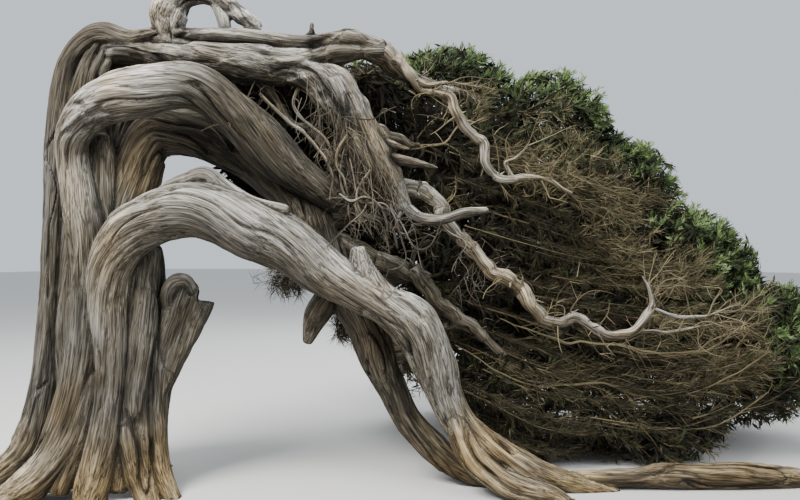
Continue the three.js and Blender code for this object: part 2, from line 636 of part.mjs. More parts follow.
// A mass of foliage: its stem, a core, and twigs that stand out of the core all round
function growMass(mass, seed) {
  const random = seeded(seed);
  const middle = new THREE.Vector3(...mass.at);
  const solids = [growCore(mass, seed, 0), tube(stemRoute(mass), BRANCH_SIDES, { rings: 2 })];
  for (let i = 0; i < TWIGS_PER_MASS; i++) {
    const direction = twigDirection(i, random);
    const reach = cellReach(mass, middle, direction) * TWIG_REACH;
    const from = middle.clone().addScaledVector(direction, reach * TWIG_ROOT);
    const to = middle.clone().addScaledVector(direction, reach);
    const bend = growTwig(mass, from, to, TWIG_RADIUS, TWIG_RINGS, random, solids);
    if (!bend) continue;
    if (random() < mass.leafy) growLeaves(mass, bend, to, random, solids);
    else growSideTwig(mass, bend, direction, reach * SIDE_TWIG_SHARE, random, solids);
  }
  return cutClear(union(solids), mass);
}

// A dead twig that hangs from a tangle's stem, or nothing where it would touch a limb
function tangleTwig({ centre, radius }, random) {
  const turn = 2 * Math.PI * random();
  const drop = TANGLE_TWIG_DROP + TANGLE_TWIG_SPREAD * random();
  const out = new THREE.Vector3(Math.cos(turn), TANGLE_TWIG_SPREAD * Math.sin(turn), -drop).normalize();
  const length = TANGLE_TWIG_LEAST + TANGLE_TWIG_SPAN * random();
  const bend = centre.clone().addScaledVector(out, length * TANGLE_BEND);
  const end = bend.clone().addScaledVector(out, length * TANGLE_RUN);
  end.addScaledVector(UP, -length * TANGLE_HOOK);
  if (nearestLimbGap(bend) < LIMB_MARGIN || nearestLimbGap(end) < LIMB_MARGIN) return null;
  const [root, middle, tip] = TANGLE_RADII;
  const radii = [Math.min(radius, root), middle, tip];
  const stops = [centre, bend, end].map((place, i) => [...place.toArray(), radii[i]]);
  return tube(stops, TWIG_SIDES, { rings: TWIG_RINGS });
}

// A bare tangle: one crooked stem with dead twigs that hang and curl from it
function growTangle(route, seed) {
  const random = seeded(seed);
  const samples = sampleRoute(route, TANGLE_TWIGS + 2).slice(1, -1);
  const twigs = samples.map((sample) => tangleTwig(sample, random)).filter(Boolean);
  return cutClear(union([tube(route, BRANCH_SIDES), ...twigs]));
}

const tree = new THREE.Group();

function addNode(name, solid, material) {
  const mesh = new THREE.Mesh(toGeometry(solid), material);
  mesh.name = name;
  tree.add(mesh);
}

addNode("trunk", growLimb(TRUNK_CORDS, TRUNK_SIDES, [slab()]), MATERIALS.bark);
for (const [name, { route, snags = [] }] of Object.entries(BOUGHS)) {
  const sides = meanRadius(route) > THIN ? BOUGH_SIDES : BRANCH_SIDES;
  addNode(name, growLimb([route, ...snags], sides), MATERIALS.bark);
}
for (const [name, route] of Object.entries(CROWN_BOUGHS)) {
  addNode(name, growLimb([route], BRANCH_SIDES), MATERIALS.inner_wood);
}
Object.entries(TANGLES).forEach(([name, route], i) => {
  addNode(name, growTangle(route, TANGLE_SEED + i), MATERIALS.dead_twigs);
  rememberLimb([route], BRANCH_SIDES);
});

// The stems and cores of all the masses are remembered first, so that no other mass's twig crosses them
const masses = Object.entries(MASSES);
masses.forEach(([, mass]) => rememberLimb([stemRoute(mass)], BRANCH_SIDES, mass));
masses.forEach(([, mass], i) => {
  const seed = MASS_SEED + i;
  remember(growCore(mass, seed, 0), growCore(mass, seed, CORE_CLEARANCE), [], mass);
});
masses.forEach(([name, mass], i) => {
  const material = mass.leafy > LEAFY_LEAST ? MATERIALS.foliage : MATERIALS.dead_twigs;
  addNode(name, growMass(mass, MASS_SEED + i), material);
});

export default tree;
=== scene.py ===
"""An old juniper bent by the wind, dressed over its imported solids.

The tables of routes and masses are those of the part's source, in millimetres in the row's frame. Other
places that are in millimetres say so, and everything else is in metres.
"""

import math

import bpy
import numpy as np
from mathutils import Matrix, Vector
from mathutils.bvhtree import BVHTree


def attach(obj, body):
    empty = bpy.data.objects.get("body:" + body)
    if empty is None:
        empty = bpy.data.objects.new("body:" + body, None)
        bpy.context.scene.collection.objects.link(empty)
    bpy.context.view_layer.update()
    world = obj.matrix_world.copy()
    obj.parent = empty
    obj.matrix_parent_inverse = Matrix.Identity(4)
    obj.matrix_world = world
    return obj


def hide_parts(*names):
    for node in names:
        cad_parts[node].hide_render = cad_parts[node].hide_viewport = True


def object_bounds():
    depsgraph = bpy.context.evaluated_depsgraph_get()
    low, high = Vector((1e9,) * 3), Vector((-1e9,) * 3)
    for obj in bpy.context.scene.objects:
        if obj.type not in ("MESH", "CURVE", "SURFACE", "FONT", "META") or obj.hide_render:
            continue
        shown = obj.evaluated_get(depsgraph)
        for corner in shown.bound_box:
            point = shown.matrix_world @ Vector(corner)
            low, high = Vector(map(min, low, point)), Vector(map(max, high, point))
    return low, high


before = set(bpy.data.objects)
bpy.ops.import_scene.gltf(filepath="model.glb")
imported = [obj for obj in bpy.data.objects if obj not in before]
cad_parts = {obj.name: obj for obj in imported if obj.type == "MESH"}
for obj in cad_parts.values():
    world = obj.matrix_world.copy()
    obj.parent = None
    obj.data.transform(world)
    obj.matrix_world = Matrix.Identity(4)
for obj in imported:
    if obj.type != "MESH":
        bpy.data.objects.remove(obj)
cad_low, cad_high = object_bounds()

MM = 0.001

# Stops of a route are [x, y, z, radius]. The trunk is a bundle of cords of wood that grew round a core.
TRUNK_CORDS = {
    "core": [[60, 50, -80, 235], [20, 80, 300, 250], [-60, 130, 1170, 270], [0, 120, 2060, 240],
        [60, 80, 2900, 160]],
    "back_left": [[-390, 310, -60, 170], [-230, 230, 260, 210], [-140, 180, 700, 200],
        [-100, 150, 1200, 180]],
    "windward": [[-930, -160, -70, 60], [-640, -110, 60, 110], [-400, -50, 250, 150], [-328, 0, 600, 130],
        [-264, 0, 1320, 102], [-262, 20, 2050, 95], [-230, 50, 2800, 97], [-185, 60, 3080, 92],
        [-70, 40, 3220, 88], [100, 10, 3280, 88], [280, 0, 3220, 92]],
    "middle": [[-560, -460, -70, 60], [-180, -400, 120, 130], [-10, -330, 350, 165], [90, -240, 820, 176],
        [120, -220, 1340, 180], [40, -190, 1970, 135], [-40, -200, 2420, 105]],
    "arch": [[180, -470, -80, 90], [200, -380, 90, 130], [240, -290, 420, 150], [285, -290, 980, 138]],
    "lee": [[600, -400, -60, 70], [480, -300, 150, 115], [390, -220, 600, 142], [430, -190, 1120, 145],
        [460, -150, 1680, 105]],
    "lee_outer": [[750, -330, -70, 50], [585, -220, 160, 92], [510, -150, 490, 118],
        [505, -110, 1000, 130], [430, -20, 1690, 100]],
    "under": [[160, 0, 1400, 205], [210, 20, 1760, 205], [270, 40, 2040, 180], [400, 90, 2540, 135]],
    "back_foot": [[-560, 420, -70, 90], [-330, 330, 160, 150], [-200, 240, 620, 170],
        [-150, 200, 1300, 160]],
    "back_right": [[420, 420, -70, 80], [260, 300, 170, 150], [180, 230, 650, 170],
        [200, 150, 1300, 150]],
    "plank_rib": [[440, -140, 500, 105], [550, -150, 860, 118], [650, -150, 1180, 130],
        [730, -140, 1430, 132]],
    "top_filling": [[20, 120, 2700, 150], [40, 110, 2900, 140], [70, 80, 3090, 105]],
}

# A plank of broken wood that stands off the trunk's lee side, seen from the front as [x, z]
SLAB_OUTLINE = [[380, 300], [570, 390], [618, 657], [705, 851], [773, 981], [863, 1161], [921, 1305],
    [849, 1334], [700, 1240], [560, 950], [430, 700]]
SLAB_FRONT = -120
SLAB_THICKNESS = 130

# The boughs, thickest first. `snags` are short dead side limbs.
BOUGHS = {
    "arch_rise": {
        "route": [[288, -300, 1040, 136], [262, -315, 1340, 142], [290, -320, 1600, 168],
            [430, -320, 1810, 190], [640, -310, 1920, 195], [890, -300, 1960, 208]],
    },
    "arch_span": {
        "route": [[890, -300, 1960, 208], [1230, -290, 1830, 214], [1510, -270, 1700, 196],
            [1760, -250, 1515, 168], [2160, -230, 1300, 155]],
        "snags": [
            [[640, -320, 2080, 50], [780, -320, 2150, 62], [930, -310, 2200, 72], [1060, -320, 2110, 60],
             [1250, -330, 2000, 50], [1480, -330, 1950, 40]],
        ],
    },
    "arch_fall": {
        "route": [[2160, -230, 1300, 155], [2360, -220, 1160, 195], [2480, -200, 930, 170],
            [2570, -190, 670, 128], [2690, -190, 460, 122]],
        "snags": [
            [[2130, -235, 1330, 150], [2010, -240, 1500, 115], [1970, -240, 1680, 62]],
        ],
    },
    "arch_foot": {
        "route": [[2690, -190, 460, 122], [2890, -190, 290, 135], [3170, -190, 130, 125],
            [3450, -170, 50, 90], [3700, -160, 10, 55]],
        "snags": [
            [[2640, -230, 520, 90], [2760, -290, 260, 105], [2990, -330, 90, 100], [3300, -340, 20, 70]],
        ],
    },
    "middle_near": {
        "route": [[-40, -210, 2330, 108], [-10, -250, 2480, 118], [90, -290, 2600, 140],
            [280, -330, 2720, 180], [520, -340, 2775, 192], [780, -300, 2830, 172]],
    },
    "middle_far": {
        "route": [[780, -300, 2830, 172], [970, -250, 2750, 158], [1110, -200, 2630, 175],
            [1280, -130, 2450, 180], [1480, -60, 2270, 148], [1680, 0, 2140, 122], [1800, 50, 2040, 95]],
    },
    "back_stem_upper": {
        "route": [[1480, 120, 2060, 150], [1570, 120, 1900, 180], [1680, 120, 1650, 168],
            [1850, 120, 1380, 152], [2020, 110, 1130, 150]],
    },
    "back_stem_lower": {
        "route": [[2020, 110, 1130, 150], [2100, 100, 870, 145], [2210, 80, 660, 112],
            [2310, 50, 460, 110], [2490, 20, 260, 118], [2710, -20, 110, 100], [2960, -60, 10, 80]],
    },
    "under_bough": {
        "route": [[400, 110, 2547, 170], [610, 150, 2573, 178], [850, 160, 2532, 188],
            [1130, 160, 2372, 150], [1480, 140, 2060, 150]],
    },
    "upper_bough": {
        "route": [[250, 20, 3140, 110], [710, 30, 3085, 122], [1150, 60, 3065, 148],
            [1480, 80, 3060, 142], [1760, 120, 3170, 92], [2130, 145, 3210, 66]],
        "snags": [
            [[230, 10, 3230, 80], [480, 0, 3270, 62], [800, 0, 3260, 55], [1160, 20, 3260, 62],
             [1520, 60, 3230, 66], [1850, 100, 3270, 82], [2120, 140, 3220, 60]],
            [[1590, 60, 3270, 42], [1610, 50, 3370, 16]],
        ],
    },
    "top_loop": {
        "route": [[560, 40, 3280, 120], [550, 60, 3430, 162], [660, 60, 3570, 105], [840, 60, 3590, 82],
            [1010, 60, 3485, 72], [1110, 50, 3400, 72], [1215, 50, 3325, 50]],
        "snags": [
            [[870, 60, 3560, 50], [940, 50, 3420, 52], [980, 40, 3290, 60]],
        ],
    },
    "spur_bough": {
        "route": [[1600, 80, 3060, 90], [1740, 60, 2890, 172], [1900, 40, 2660, 150],
            [2040, 20, 2420, 160], [2170, 0, 2200, 142], [2270, -20, 1990, 84]],
        "snags": [
            [[2100, -20, 2360, 60], [2220, -60, 2340, 44], [2380, -90, 2310, 32], [2530, -120, 2270, 12]],
            [[2060, 0, 2500, 50], [2200, -50, 2450, 32], [2330, -80, 2410, 14]],
        ],
    },
    "spur_arm": {
        "route": [[2290, -30, 1990, 64], [2400, -50, 1910, 52], [2580, -80, 1910, 45],
            [2720, -100, 1950, 42], [2880, -120, 1965, 26]],
    },
    "dead_limb_top_near": {
        "route": [[2130, 145, 3210, 64], [2260, 120, 3090, 60], [2370, 100, 2950, 50],
            [2480, 90, 2870, 48], [2620, 80, 2810, 50], [2690, 70, 2700, 50]],
        "snags": [
            [[2350, 95, 2980, 46], [2480, 60, 2905, 44], [2610, 30, 2920, 18]],
        ],
    },
    "dead_limb_top_far": {
        "route": [[2690, 70, 2700, 50], [2740, 60, 2590, 50], [2840, 50, 2480, 50], [2890, 40, 2330, 46],
            [2930, 40, 2230, 46], [3020, 30, 2190, 45], [3150, 20, 2215, 34], [3320, 0, 2210, 22],
            [3510, -20, 2100, 12]],
        "snags": [
            [[3090, 20, 2210, 34], [3030, 0, 2310, 28], [3100, -20, 2360, 20], [3190, -30, 2450, 10]],
        ],
    },
    "dead_limb_low_near": {
        "route": [[2290, 60, 2150, 86], [2470, 80, 2130, 88], [2570, 70, 2000, 76], [2620, 60, 1850, 66],
            [2760, 40, 1690, 65], [2990, 10, 1510, 65], [3200, -20, 1350, 64]],
    },
    "dead_limb_low_far": {
        "route": [[3200, -20, 1350, 64], [3300, -40, 1180, 52], [3410, -50, 1150, 46],
            [3510, -50, 1200, 46], [3640, -50, 1140, 48], [3810, -50, 1075, 50], [3960, -40, 1110, 48],
            [4050, -30, 1220, 42], [4085, -20, 1300, 30], [4075, -10, 1410, 20], [4030, 0, 1490, 10]],
        "snags": [
            [[4070, -20, 1270, 30], [4300, 0, 1190, 24], [4490, 20, 1210, 18], [4760, 60, 1290, 9]],
            [[3960, -40, 1100, 28], [4290, -20, 1110, 18], [4600, 0, 1160, 8]],
        ],
    },
    "lying_limb": {
        "route": [[3480, -150, 75, 62], [3880, -130, 78, 72], [4110, -120, 90, 92], [4390, -110, 85, 92],
            [4660, -100, 90, 100], [5010, -80, 66, 84], [5340, -60, 30, 48]],
    },
    "hanging_stub": {
        "route": [[1790, 115, 1440, 110], [1640, 100, 1200, 104], [1575, 95, 1010, 40]],
    },
}

# Boughs that carry the crown. Each ends in a tip that the stems of its masses of foliage meet.
CROWN_BOUGHS = {
    "crown_bough_top": [[1990, 125, 3200, 74], [2270, 500, 3120, 62], [2470, 840, 3050, 38]],
    "crown_bough_top_far": [[2250, 470, 3120, 58], [2760, 740, 2990, 48], [3180, 960, 2850, 34]],
    "crown_bough_top_back": [[1480, 80, 3080, 92], [1570, 460, 3030, 74], [1660, 780, 2950, 44]],
    "crown_bough_near_back": [[1130, 160, 2340, 84], [1180, 680, 2360, 70], [1320, 1220, 2220, 42]],
    "crown_bough_front_top": [[1950, 80, 2600, 74], [2180, 330, 2570, 54], [2400, 500, 2520, 34]],
    "crown_bough_shoulder": [[1560, 120, 1930, 96], [2300, 640, 2040, 84], [3200, 1160, 2150, 66],
        [3900, 1180, 2160, 42]],
    "crown_bough_back_top": [[1640, 140, 1900, 92], [1860, 900, 2160, 76], [2350, 1600, 2320, 44]],
    "crown_bough_low": [[1640, 160, 1800, 100], [2260, 340, 1550, 82], [2480, 450, 1480, 44]],
    "crown_bough_ground": [[2360, 300, 1540, 64], [2580, 360, 1270, 70], [2820, 400, 1090, 58],
        [3080, 440, 860, 36]],
    "crown_bough_middle": [[2020, 110, 1130, 84], [2500, 560, 1060, 66], [3200, 860, 1060, 40]],
    "crown_bough_slope": [[1850, 120, 1380, 92], [2760, 1160, 1560, 80], [3700, 1420, 1560, 62],
        [4520, 1280, 1450, 38]],
    "crown_bough_toe": [[2090, 100, 880, 90], [2900, 1250, 900, 76], [4000, 1400, 880, 58],
        [5080, 1200, 860, 34]],
    "crown_bough_back_slope": [[1700, 120, 1600, 90], [2400, 1160, 1660, 76], [3300, 1800, 1640, 42]],
    "crown_bough_back_toe": [[2900, 1300, 880, 60], [3500, 1700, 980, 52], [4320, 1900, 960, 34]],
    "crown_bough_back_low": [[2170, 90, 720, 76], [2350, 900, 760, 64], [2600, 1700, 840, 38]],
}

# The crown: each mass keeps to its own part of these overlapping rounds. Its bough, middle, half sizes and
# the share of its twigs that bear leaves. The masses on the near side are mostly dead twigs.
MASSES = {
    "foliage_top_near": ("crown_bough_top", [2680, 1280, 2960], [740, 800, 650], 1),
    "foliage_top_far": ("crown_bough_top_far", [3540, 1300, 2700], [730, 840, 680], 1),
    "foliage_top_back": ("crown_bough_top_back", [1820, 1240, 2830], [690, 740, 670], 1),
    "foliage_near_back": ("crown_bough_near_back", [1500, 1800, 2080], [780, 700, 800], 0.8),
    "foliage_shoulder": ("crown_bough_shoulder", [4210, 1330, 2110], [630, 850, 720], 1),
    "foliage_slope": ("crown_bough_slope", [4900, 1350, 1460], [620, 830, 700], 1),
    "foliage_tip": ("crown_bough_toe", [5600, 1230, 820], [700, 780, 650], 1),
    "foliage_back_top": ("crown_bough_back_top", [2900, 2120, 2320], [930, 680, 880], 1),
    "foliage_back_slope": ("crown_bough_back_slope", [3900, 2180, 1720], [880, 660, 930], 1),
    "foliage_back_toe": ("crown_bough_back_toe", [4860, 2040, 980], [880, 680, 860], 1),
    "foliage_back_low": ("crown_bough_back_low", [3050, 2280, 900], [1080, 680, 900], 0.8),
    "foliage_front_top": ("crown_bough_front_top", [2740, 750, 2430], [720, 510, 750], 0.5),
    "foliage_front_mid": ("crown_bough_shoulder", [3560, 790, 2060], [750, 530, 790], 0.4),
    "foliage_front_slope": ("crown_bough_slope", [4360, 800, 1470], [730, 550, 740], 0.5),
    "foliage_front_toe": ("crown_bough_toe", [5150, 810, 860], [760, 550, 730], 0.6),
    "dead_twigs_inner": ("crown_bough_low", [2830, 830, 1600], [740, 540, 780], 0),
    "dead_twigs_middle": ("crown_bough_middle", [3660, 850, 1240], [690, 550, 700], 0.1),
    "dead_twigs_low": ("crown_bough_ground", [3280, 690, 470], [740, 580, 660], 0.1),
    "dead_twigs_ground": ("crown_bough_middle", [4260, 690, 450], [780, 580, 680], 0.2),
}

# Bare tangles of dead twigs that hang among the boughs, each along its own stem
TANGLES = {
    "tangle_hanging": [[1200, 110, 2960, 34], [1400, 100, 2700, 36], [1550, 80, 2570, 36],
        [1710, 60, 2410, 40], [1810, 10, 2190, 32], [1760, -10, 2030, 14]],
    "tangle_spur": [[2060, 80, 2180, 34], [1960, 70, 2040, 28], [2010, 60, 1930, 24],
        [2170, 40, 1880, 18], [2240, 30, 1700, 9]],
    "tangle_inner": [[2400, 400, 1450, 34], [2330, 330, 1500, 30], [2360, 250, 1660, 24],
        [2480, 180, 1760, 12]],
}


# Numbers and noise
LEEWARD = np.array([0.995, 0.0, 0.0995])
UP = np.array([0.0, 0.0, 1.0])
FAR = 9.0


def unit(vectors):
    return vectors / np.maximum(np.linalg.norm(vectors, axis=-1, keepdims=True), 1e-9)


def smoothstep(low, high, values):
    share = np.clip((values - low) / (high - low), 0, 1)
    return share * share * (3 - 2 * share)


def hashed(x, y, z, seed):
    """A number from 0 to 1 for each corner of a lattice."""
    h = x.astype(np.uint32) * np.uint32(374761393) + y.astype(np.uint32) * np.uint32(668265263)
    h += z.astype(np.uint32) * np.uint32(2246822519) + np.uint32(seed * 2654435761 & 0xFFFFFFFF)
    h = (h ^ (h >> np.uint32(13))) * np.uint32(1274126177)
    h ^= h >> np.uint32(16)
    return h.astype(np.float64) / 2**32


def noise(points, seed):
    """Smooth noise from 0 to 1 on a unit lattice, one value a point."""
    cell = np.floor(points).astype(np.int64)
    f = points - cell
    f = f * f * (3 - 2 * f)
    total = np.zeros(len(points))
    for corner in np.ndindex(2, 2, 2):
        weight = np.where(corner, f, 1 - f)
        total += weight[:, 0] * weight[:, 1] * weight[:, 2] * hashed(*(cell + corner).T, seed)
    return total


def ridges(points, seed):
    """0 in sharp grooves and 1 on rounded tops."""
    return np.abs(2 * noise(points, seed) - 1)


def cracks(points, grain, width, patch, rise, seed):
    """1 in thin cracks along the grain and 0 elsewhere, in patches."""
    thin = smoothstep(width, 0.0, ridges(points / grain, seed))
    return thin * smoothstep(*rise, noise(points / patch, seed + 1))


def glow(points, spots):
    """The sum of soft round spots, each given as its middle, its reach and how much."""
    total = np.zeros(len(points))
    for middle, reach, amount in spots:
        total += amount * np.exp(-(((points - middle) / reach) ** 2).sum(1))
    return total


# Lines and tubes
TRUNK_TWIST = 0.2
BOUGH_TWIST = 0.9
LIMBS = ["trunk", *BOUGHS, *TANGLES]
# How strong the broad ribs of a limb are, how brown it is, raised as painted shade on limbs that lie in
# shadow, how much light it gets and how gnarled it is
LOOKS = {
    "trunk": (0.7, 0.78, 0.48, 0), "arch_rise": (0.45, 0.6, 0.84, 0), "arch_span": (0.35, 0.34, 0.78, 0),
    "arch_fall": (0.8, 0.5, 0.92, 0), "arch_foot": (1, 0.74, 0.71, 0.2), "middle_near": (0.4, 0.3, 1.1, 0),
    "middle_far": (0.8, 0.85, 0.42, 0), "under_bough": (1, 1.0, 0.45, 0), "hanging_stub": (1, 0.8, 0.85, 0),
    "back_stem_upper": (1, 0.9, 0.7, 0.3), "back_stem_lower": (1, 1.0, 0.5, 0.2),
    "upper_bough": (1, 0.57, 0.92, 1), "top_loop": (0.8, 0.33, 1.3, 0.7), "spur_bough": (1, 0.7, 0.84, 0.6),
    "spur_arm": (1, 0.55, 1, 0.5), "lying_limb": (1, 0.7, 0.38, 0.2),
}
RIBS, BROWN, LIGHT, GNARL = range(4)
PLAIN_LOOK = (1, 0.5, 1, 0)
LOOK_OF = np.array([LOOKS.get(name, PLAIN_LOOK) for name in LIMBS])
LOOK_ROUNDS = 120
CORD_STEP = 0.02
# Stops of two limbs end to end that are nearer than this, in mm, count as one
JOINT_GAP = 100
# How far the rings of a rounded end lie past it and how wide they are, as shares of its radius
CAP_STEPS = ((0.18, 0.94), (0.34, 0.78), (0.45, 0.5))
CAP_TIP = 0.5


def sample_route(stops, count):
    """Places, radii and stretches at even steps along a smooth centripetal curve, as in the part's source."""
    stops = np.array(stops, float) * MM
    p, radii = stops[:, :3], stops[:, 3]
    last = len(p) - 1
    at = np.linspace(0, last, count)
    i = np.minimum(at.astype(int), last - 1)
    w = (at - i)[:, None]
    p1, p2 = p[i], p[i + 1]
    p0 = np.where((i > 0)[:, None], p[np.maximum(i - 1, 0)], 2 * p1 - p2)
    p3 = np.where((i + 2 <= last)[:, None], p[np.minimum(i + 2, last)], 2 * p2 - p1)
    pairs = (p0, p1), (p1, p2), (p2, p3)
    d0, d1, d2 = (np.linalg.norm(b - a, axis=1, keepdims=True) ** 0.5 for a, b in pairs)
    t1 = ((p1 - p0) / d0 - (p2 - p0) / (d0 + d1) + (p2 - p1) / d1) * d1
    t2 = ((p2 - p1) / d1 - (p3 - p1) / (d1 + d2) + (p3 - p2) / d2) * d1
    places = p1 + t1 * w + (3 * (p2 - p1) - 2 * t1 - t2) * w**2 + (2 * (p1 - p2) + t1 + t2) * w**3
    return places, radii[i] * (1 - w[:, 0]) + radii[i + 1] * w[:, 0], i + 1


def length_of(stops):
    return sum(math.dist(a[:3], b[:3]) for a, b in zip(stops, stops[1:])) * MM


def run_along(places):
    """How far along its line each place lies."""
    return np.concatenate([[0], np.cumsum(np.linalg.norm(np.diff(places, axis=0), axis=1))])


def frames_along(places):
    """Tangents and two cross directions that don't turn about the line."""
    tangents = unit(np.gradient(places, axis=0))
    side = np.cross([0.0, 1.0, 0.0], tangents[0])
    if np.linalg.norm(side) < 0.1:
        side = np.array([1.0, 0.0, 0.0])
    sides = []
    for t in tangents:
        side = side - side.dot(t) * t
        side = side / np.linalg.norm(side)
        sides.append(side)
    sides = np.array(sides)
    return tangents, sides, np.cross(tangents, sides)


def eased(places, rounds):
    """The line with its sharp bends rounded off."""
    for _ in range(rounds):
        places = places.copy()
        places[1:-1] += 0.5 * ((places[:-2] + places[2:]) / 2 - places[1:-1])
    return places


def make_cord(places, radii, limbs):
    """A line with its directions, run and twist, and the number of the limb that each place belongs to."""
    tangents, sides, across = frames_along(places)
    run = run_along(places)
    rate = np.where(limbs == 0, TRUNK_TWIST, BOUGH_TWIST)
    steps = np.linalg.norm(np.diff(places, axis=0), axis=1)
    turn = np.concatenate([[0], np.cumsum(steps * (rate[1:] + rate[:-1]) / 2)])
    return {"at": places, "r": radii, "t": tangents, "u": sides, "v": across, "limb": limbs, "rate": rate,
            "turn": turn, "run": run, "mean": float(radii.mean()), "look": eased(LOOK_OF[limbs], LOOK_ROUNDS)}


def cord_of(*pieces, ease=4, ropes=4):
    """A cord along several limbs end to end, each given as its name and its stops. `ropes` wind along it."""
    stops, numbers = [], []
    for name, part in pieces:
        part = [list(stop) for stop in part]
        if stops and math.dist(stops[-1][:3], part[0][:3]) < JOINT_GAP:
            part = part[1:]
        stops += part
        numbers += [LIMBS.index(name)] * len(part)
    places, radii, stretch = sample_route(stops, max(6, int(length_of(stops) / CORD_STEP) + 2))
    return make_cord(eased(places, ease), radii, np.array(numbers)[stretch]) | {"ropes": ropes}


def rings(centres, radii, us, vs, sides):
    """The points of a ring round each place of a line."""
    angle = np.arange(sides) * 2 * math.pi / sides
    ring = np.cos(angle)[None, :, None] * us[:, None] + np.sin(angle)[None, :, None] * vs[:, None]
    return (centres[:, None] + ring * radii[:, None, None]).reshape(-1, 3)


def ring_walls(count, sides):
    """Triangles from each ring to the next."""
    k = np.arange(sides)
    after = (k + 1) % sides
    base = (np.arange(count - 1) * sides)[:, None]
    a, b, c, d = base + k, base + after, base + sides + k, base + sides + after
    return np.concatenate([np.stack([a, b, d], -1).reshape(-1, 3), np.stack([a, d, c], -1).reshape(-1, 3)])


def fan(tip, rim, backward=False):
    """Triangles from a point to each edge of a closed rim."""
    after = np.roll(rim, -1)
    a, b = (after, rim) if backward else (rim, after)
    return np.stack([np.full(len(rim), tip), a, b], -1)


def tube(cord, sides, scale=1.0):
    """Points and triangles of a closed tube round a cord, with rounded ends."""
    at, r, t, u, v = cord["at"], cord["r"] * scale, cord["t"], cord["u"], cord["v"]
    ahead = [(at[-1] + t[-1] * r[-1] * a, r[-1] * b, u[-1], v[-1]) for a, b in CAP_STEPS]
    behind = [(at[0] - t[0] * r[0] * a, r[0] * b, u[0], v[0]) for a, b in reversed(CAP_STEPS)]
    centres, radii, us, vs = (np.array(column) for column in zip(*behind, *zip(at, r, u, v), *ahead))
    n = len(centres)
    rim = np.arange(sides)
    tips = np.array([at[0] - t[0] * r[0] * CAP_TIP, at[-1] + t[-1] * r[-1] * CAP_TIP])
    points = np.vstack([rings(centres, radii, us, vs, sides), tips])
    return points, np.vstack([ring_walls(n, sides), fan(n * sides, rim, True),
                              fan(n * sides + 1, (n - 1) * sides + rim)])


def twig_tube(places, radii, sides):
    """A tube that runs to a point, with no cap at its root."""
    tangents = unit(np.gradient(places, axis=0))
    axis = np.eye(3)[np.abs(places[-1] - places[0]).argmin()]
    u = unit(np.cross(tangents, axis))
    v = np.cross(tangents, u)
    n = len(places) - 1
    points = np.vstack([rings(places[:-1], radii[:-1], u[:-1], v[:-1], sides), places[-1:]])
    return points, np.vstack([ring_walls(n, sides), fan(n * sides, (n - 1) * sides + np.arange(sides))])


def merge(parts):
    """Joins (points, triangles) pairs."""
    points, faces = zip(*parts)
    starts = np.cumsum([0] + [len(p) for p in points[:-1]])
    return np.vstack(points), np.vstack([f + start for f, start in zip(faces, starts)])


# Meshes
def new_object(name, points, faces, materials, slots=None, smooth=True):
    mesh = bpy.data.meshes.new(name)
    mesh.vertices.add(len(points))
    mesh.vertices.foreach_set("co", np.ascontiguousarray(points, np.float32).ravel())
    mesh.loops.add(faces.size)
    mesh.loops.foreach_set("vertex_index", np.ascontiguousarray(faces, np.int32).ravel())
    mesh.polygons.add(len(faces))
    mesh.polygons.foreach_set("loop_start", np.arange(0, faces.size, faces.shape[1], dtype=np.int32))
    mesh.polygons.foreach_set("use_smooth", np.full(len(faces), smooth))
    for material in materials:
        mesh.materials.append(material)
    if slots is not None:
        mesh.polygons.foreach_set("material_index", np.ascontiguousarray(slots, np.int32))
    mesh.update(calc_edges=True)
    obj = bpy.data.objects.new(name, mesh)
    bpy.context.scene.collection.objects.link(obj)
    return obj


def put_on_tree(obj, nodes):
    """Lets a piece ride on the root in place of the CAD nodes that it stands for."""
    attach(obj, "root")
    if len(nodes):
        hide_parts(*nodes)


def compacted(points, faces):
    """Only the points that the faces use, the faces with their new numbers, and the points' old numbers."""
    used = np.unique(faces)
    place = np.zeros(len(points), int)
    place[used] = np.arange(len(used))
    return points[used], place[faces], used


def arrays_of(mesh):
    points = np.zeros(len(mesh.vertices) * 3, np.float32)
    mesh.vertices.foreach_get("co", points)
    mesh.calc_loop_triangles()
    faces = np.zeros(len(mesh.loop_triangles) * 3, np.int32)
    mesh.loop_triangles.foreach_get("vertices", faces)
    return points.reshape(-1, 3).astype(float), faces.reshape(-1, 3)


def modified(points, faces, kind, **settings):
    """The mesh after one modifier."""
    obj = new_object("work", points, faces, [])
    modifier = obj.modifiers.new("work", kind)
    for key, value in settings.items():
        setattr(modifier, key, value)
    shown = obj.evaluated_get(bpy.context.evaluated_depsgraph_get())
    result = arrays_of(shown.to_mesh())
    shown.to_mesh_clear()
    mesh = obj.data
    bpy.data.objects.remove(obj)
    bpy.data.meshes.remove(mesh)
    return result


def gathered(index, values, count):
    """The sum of the values that carry each number."""
    return np.stack([np.bincount(index, values[:, axis], count) for axis in range(3)], 1)


def vertex_normals(points, faces):
    a, b, c = (points[faces[:, i]] for i in range(3))
    flat = np.cross(b - a, c - a)
    return unit(sum(gathered(faces[:, i], flat, len(points)) for i in range(3)))


def edges_of(faces):
    return np.vstack([faces[:, [0, 1]], faces[:, [1, 2]], faces[:, [2, 0]]])


def smoothed(points, faces, rounds, share):
    """The points drawn towards the middle of their neighbours."""
    n = len(points)
    one, other = np.unique(np.sort(edges_of(faces), axis=1), axis=0).T
    count = np.bincount(np.concatenate([one, other]), minlength=n)
    for _ in range(rounds):
        total = gathered(one, points[other], n) + gathered(other, points[one], n)
        points = points + share * (total / np.maximum(count, 1)[:, None] - points)
    return points


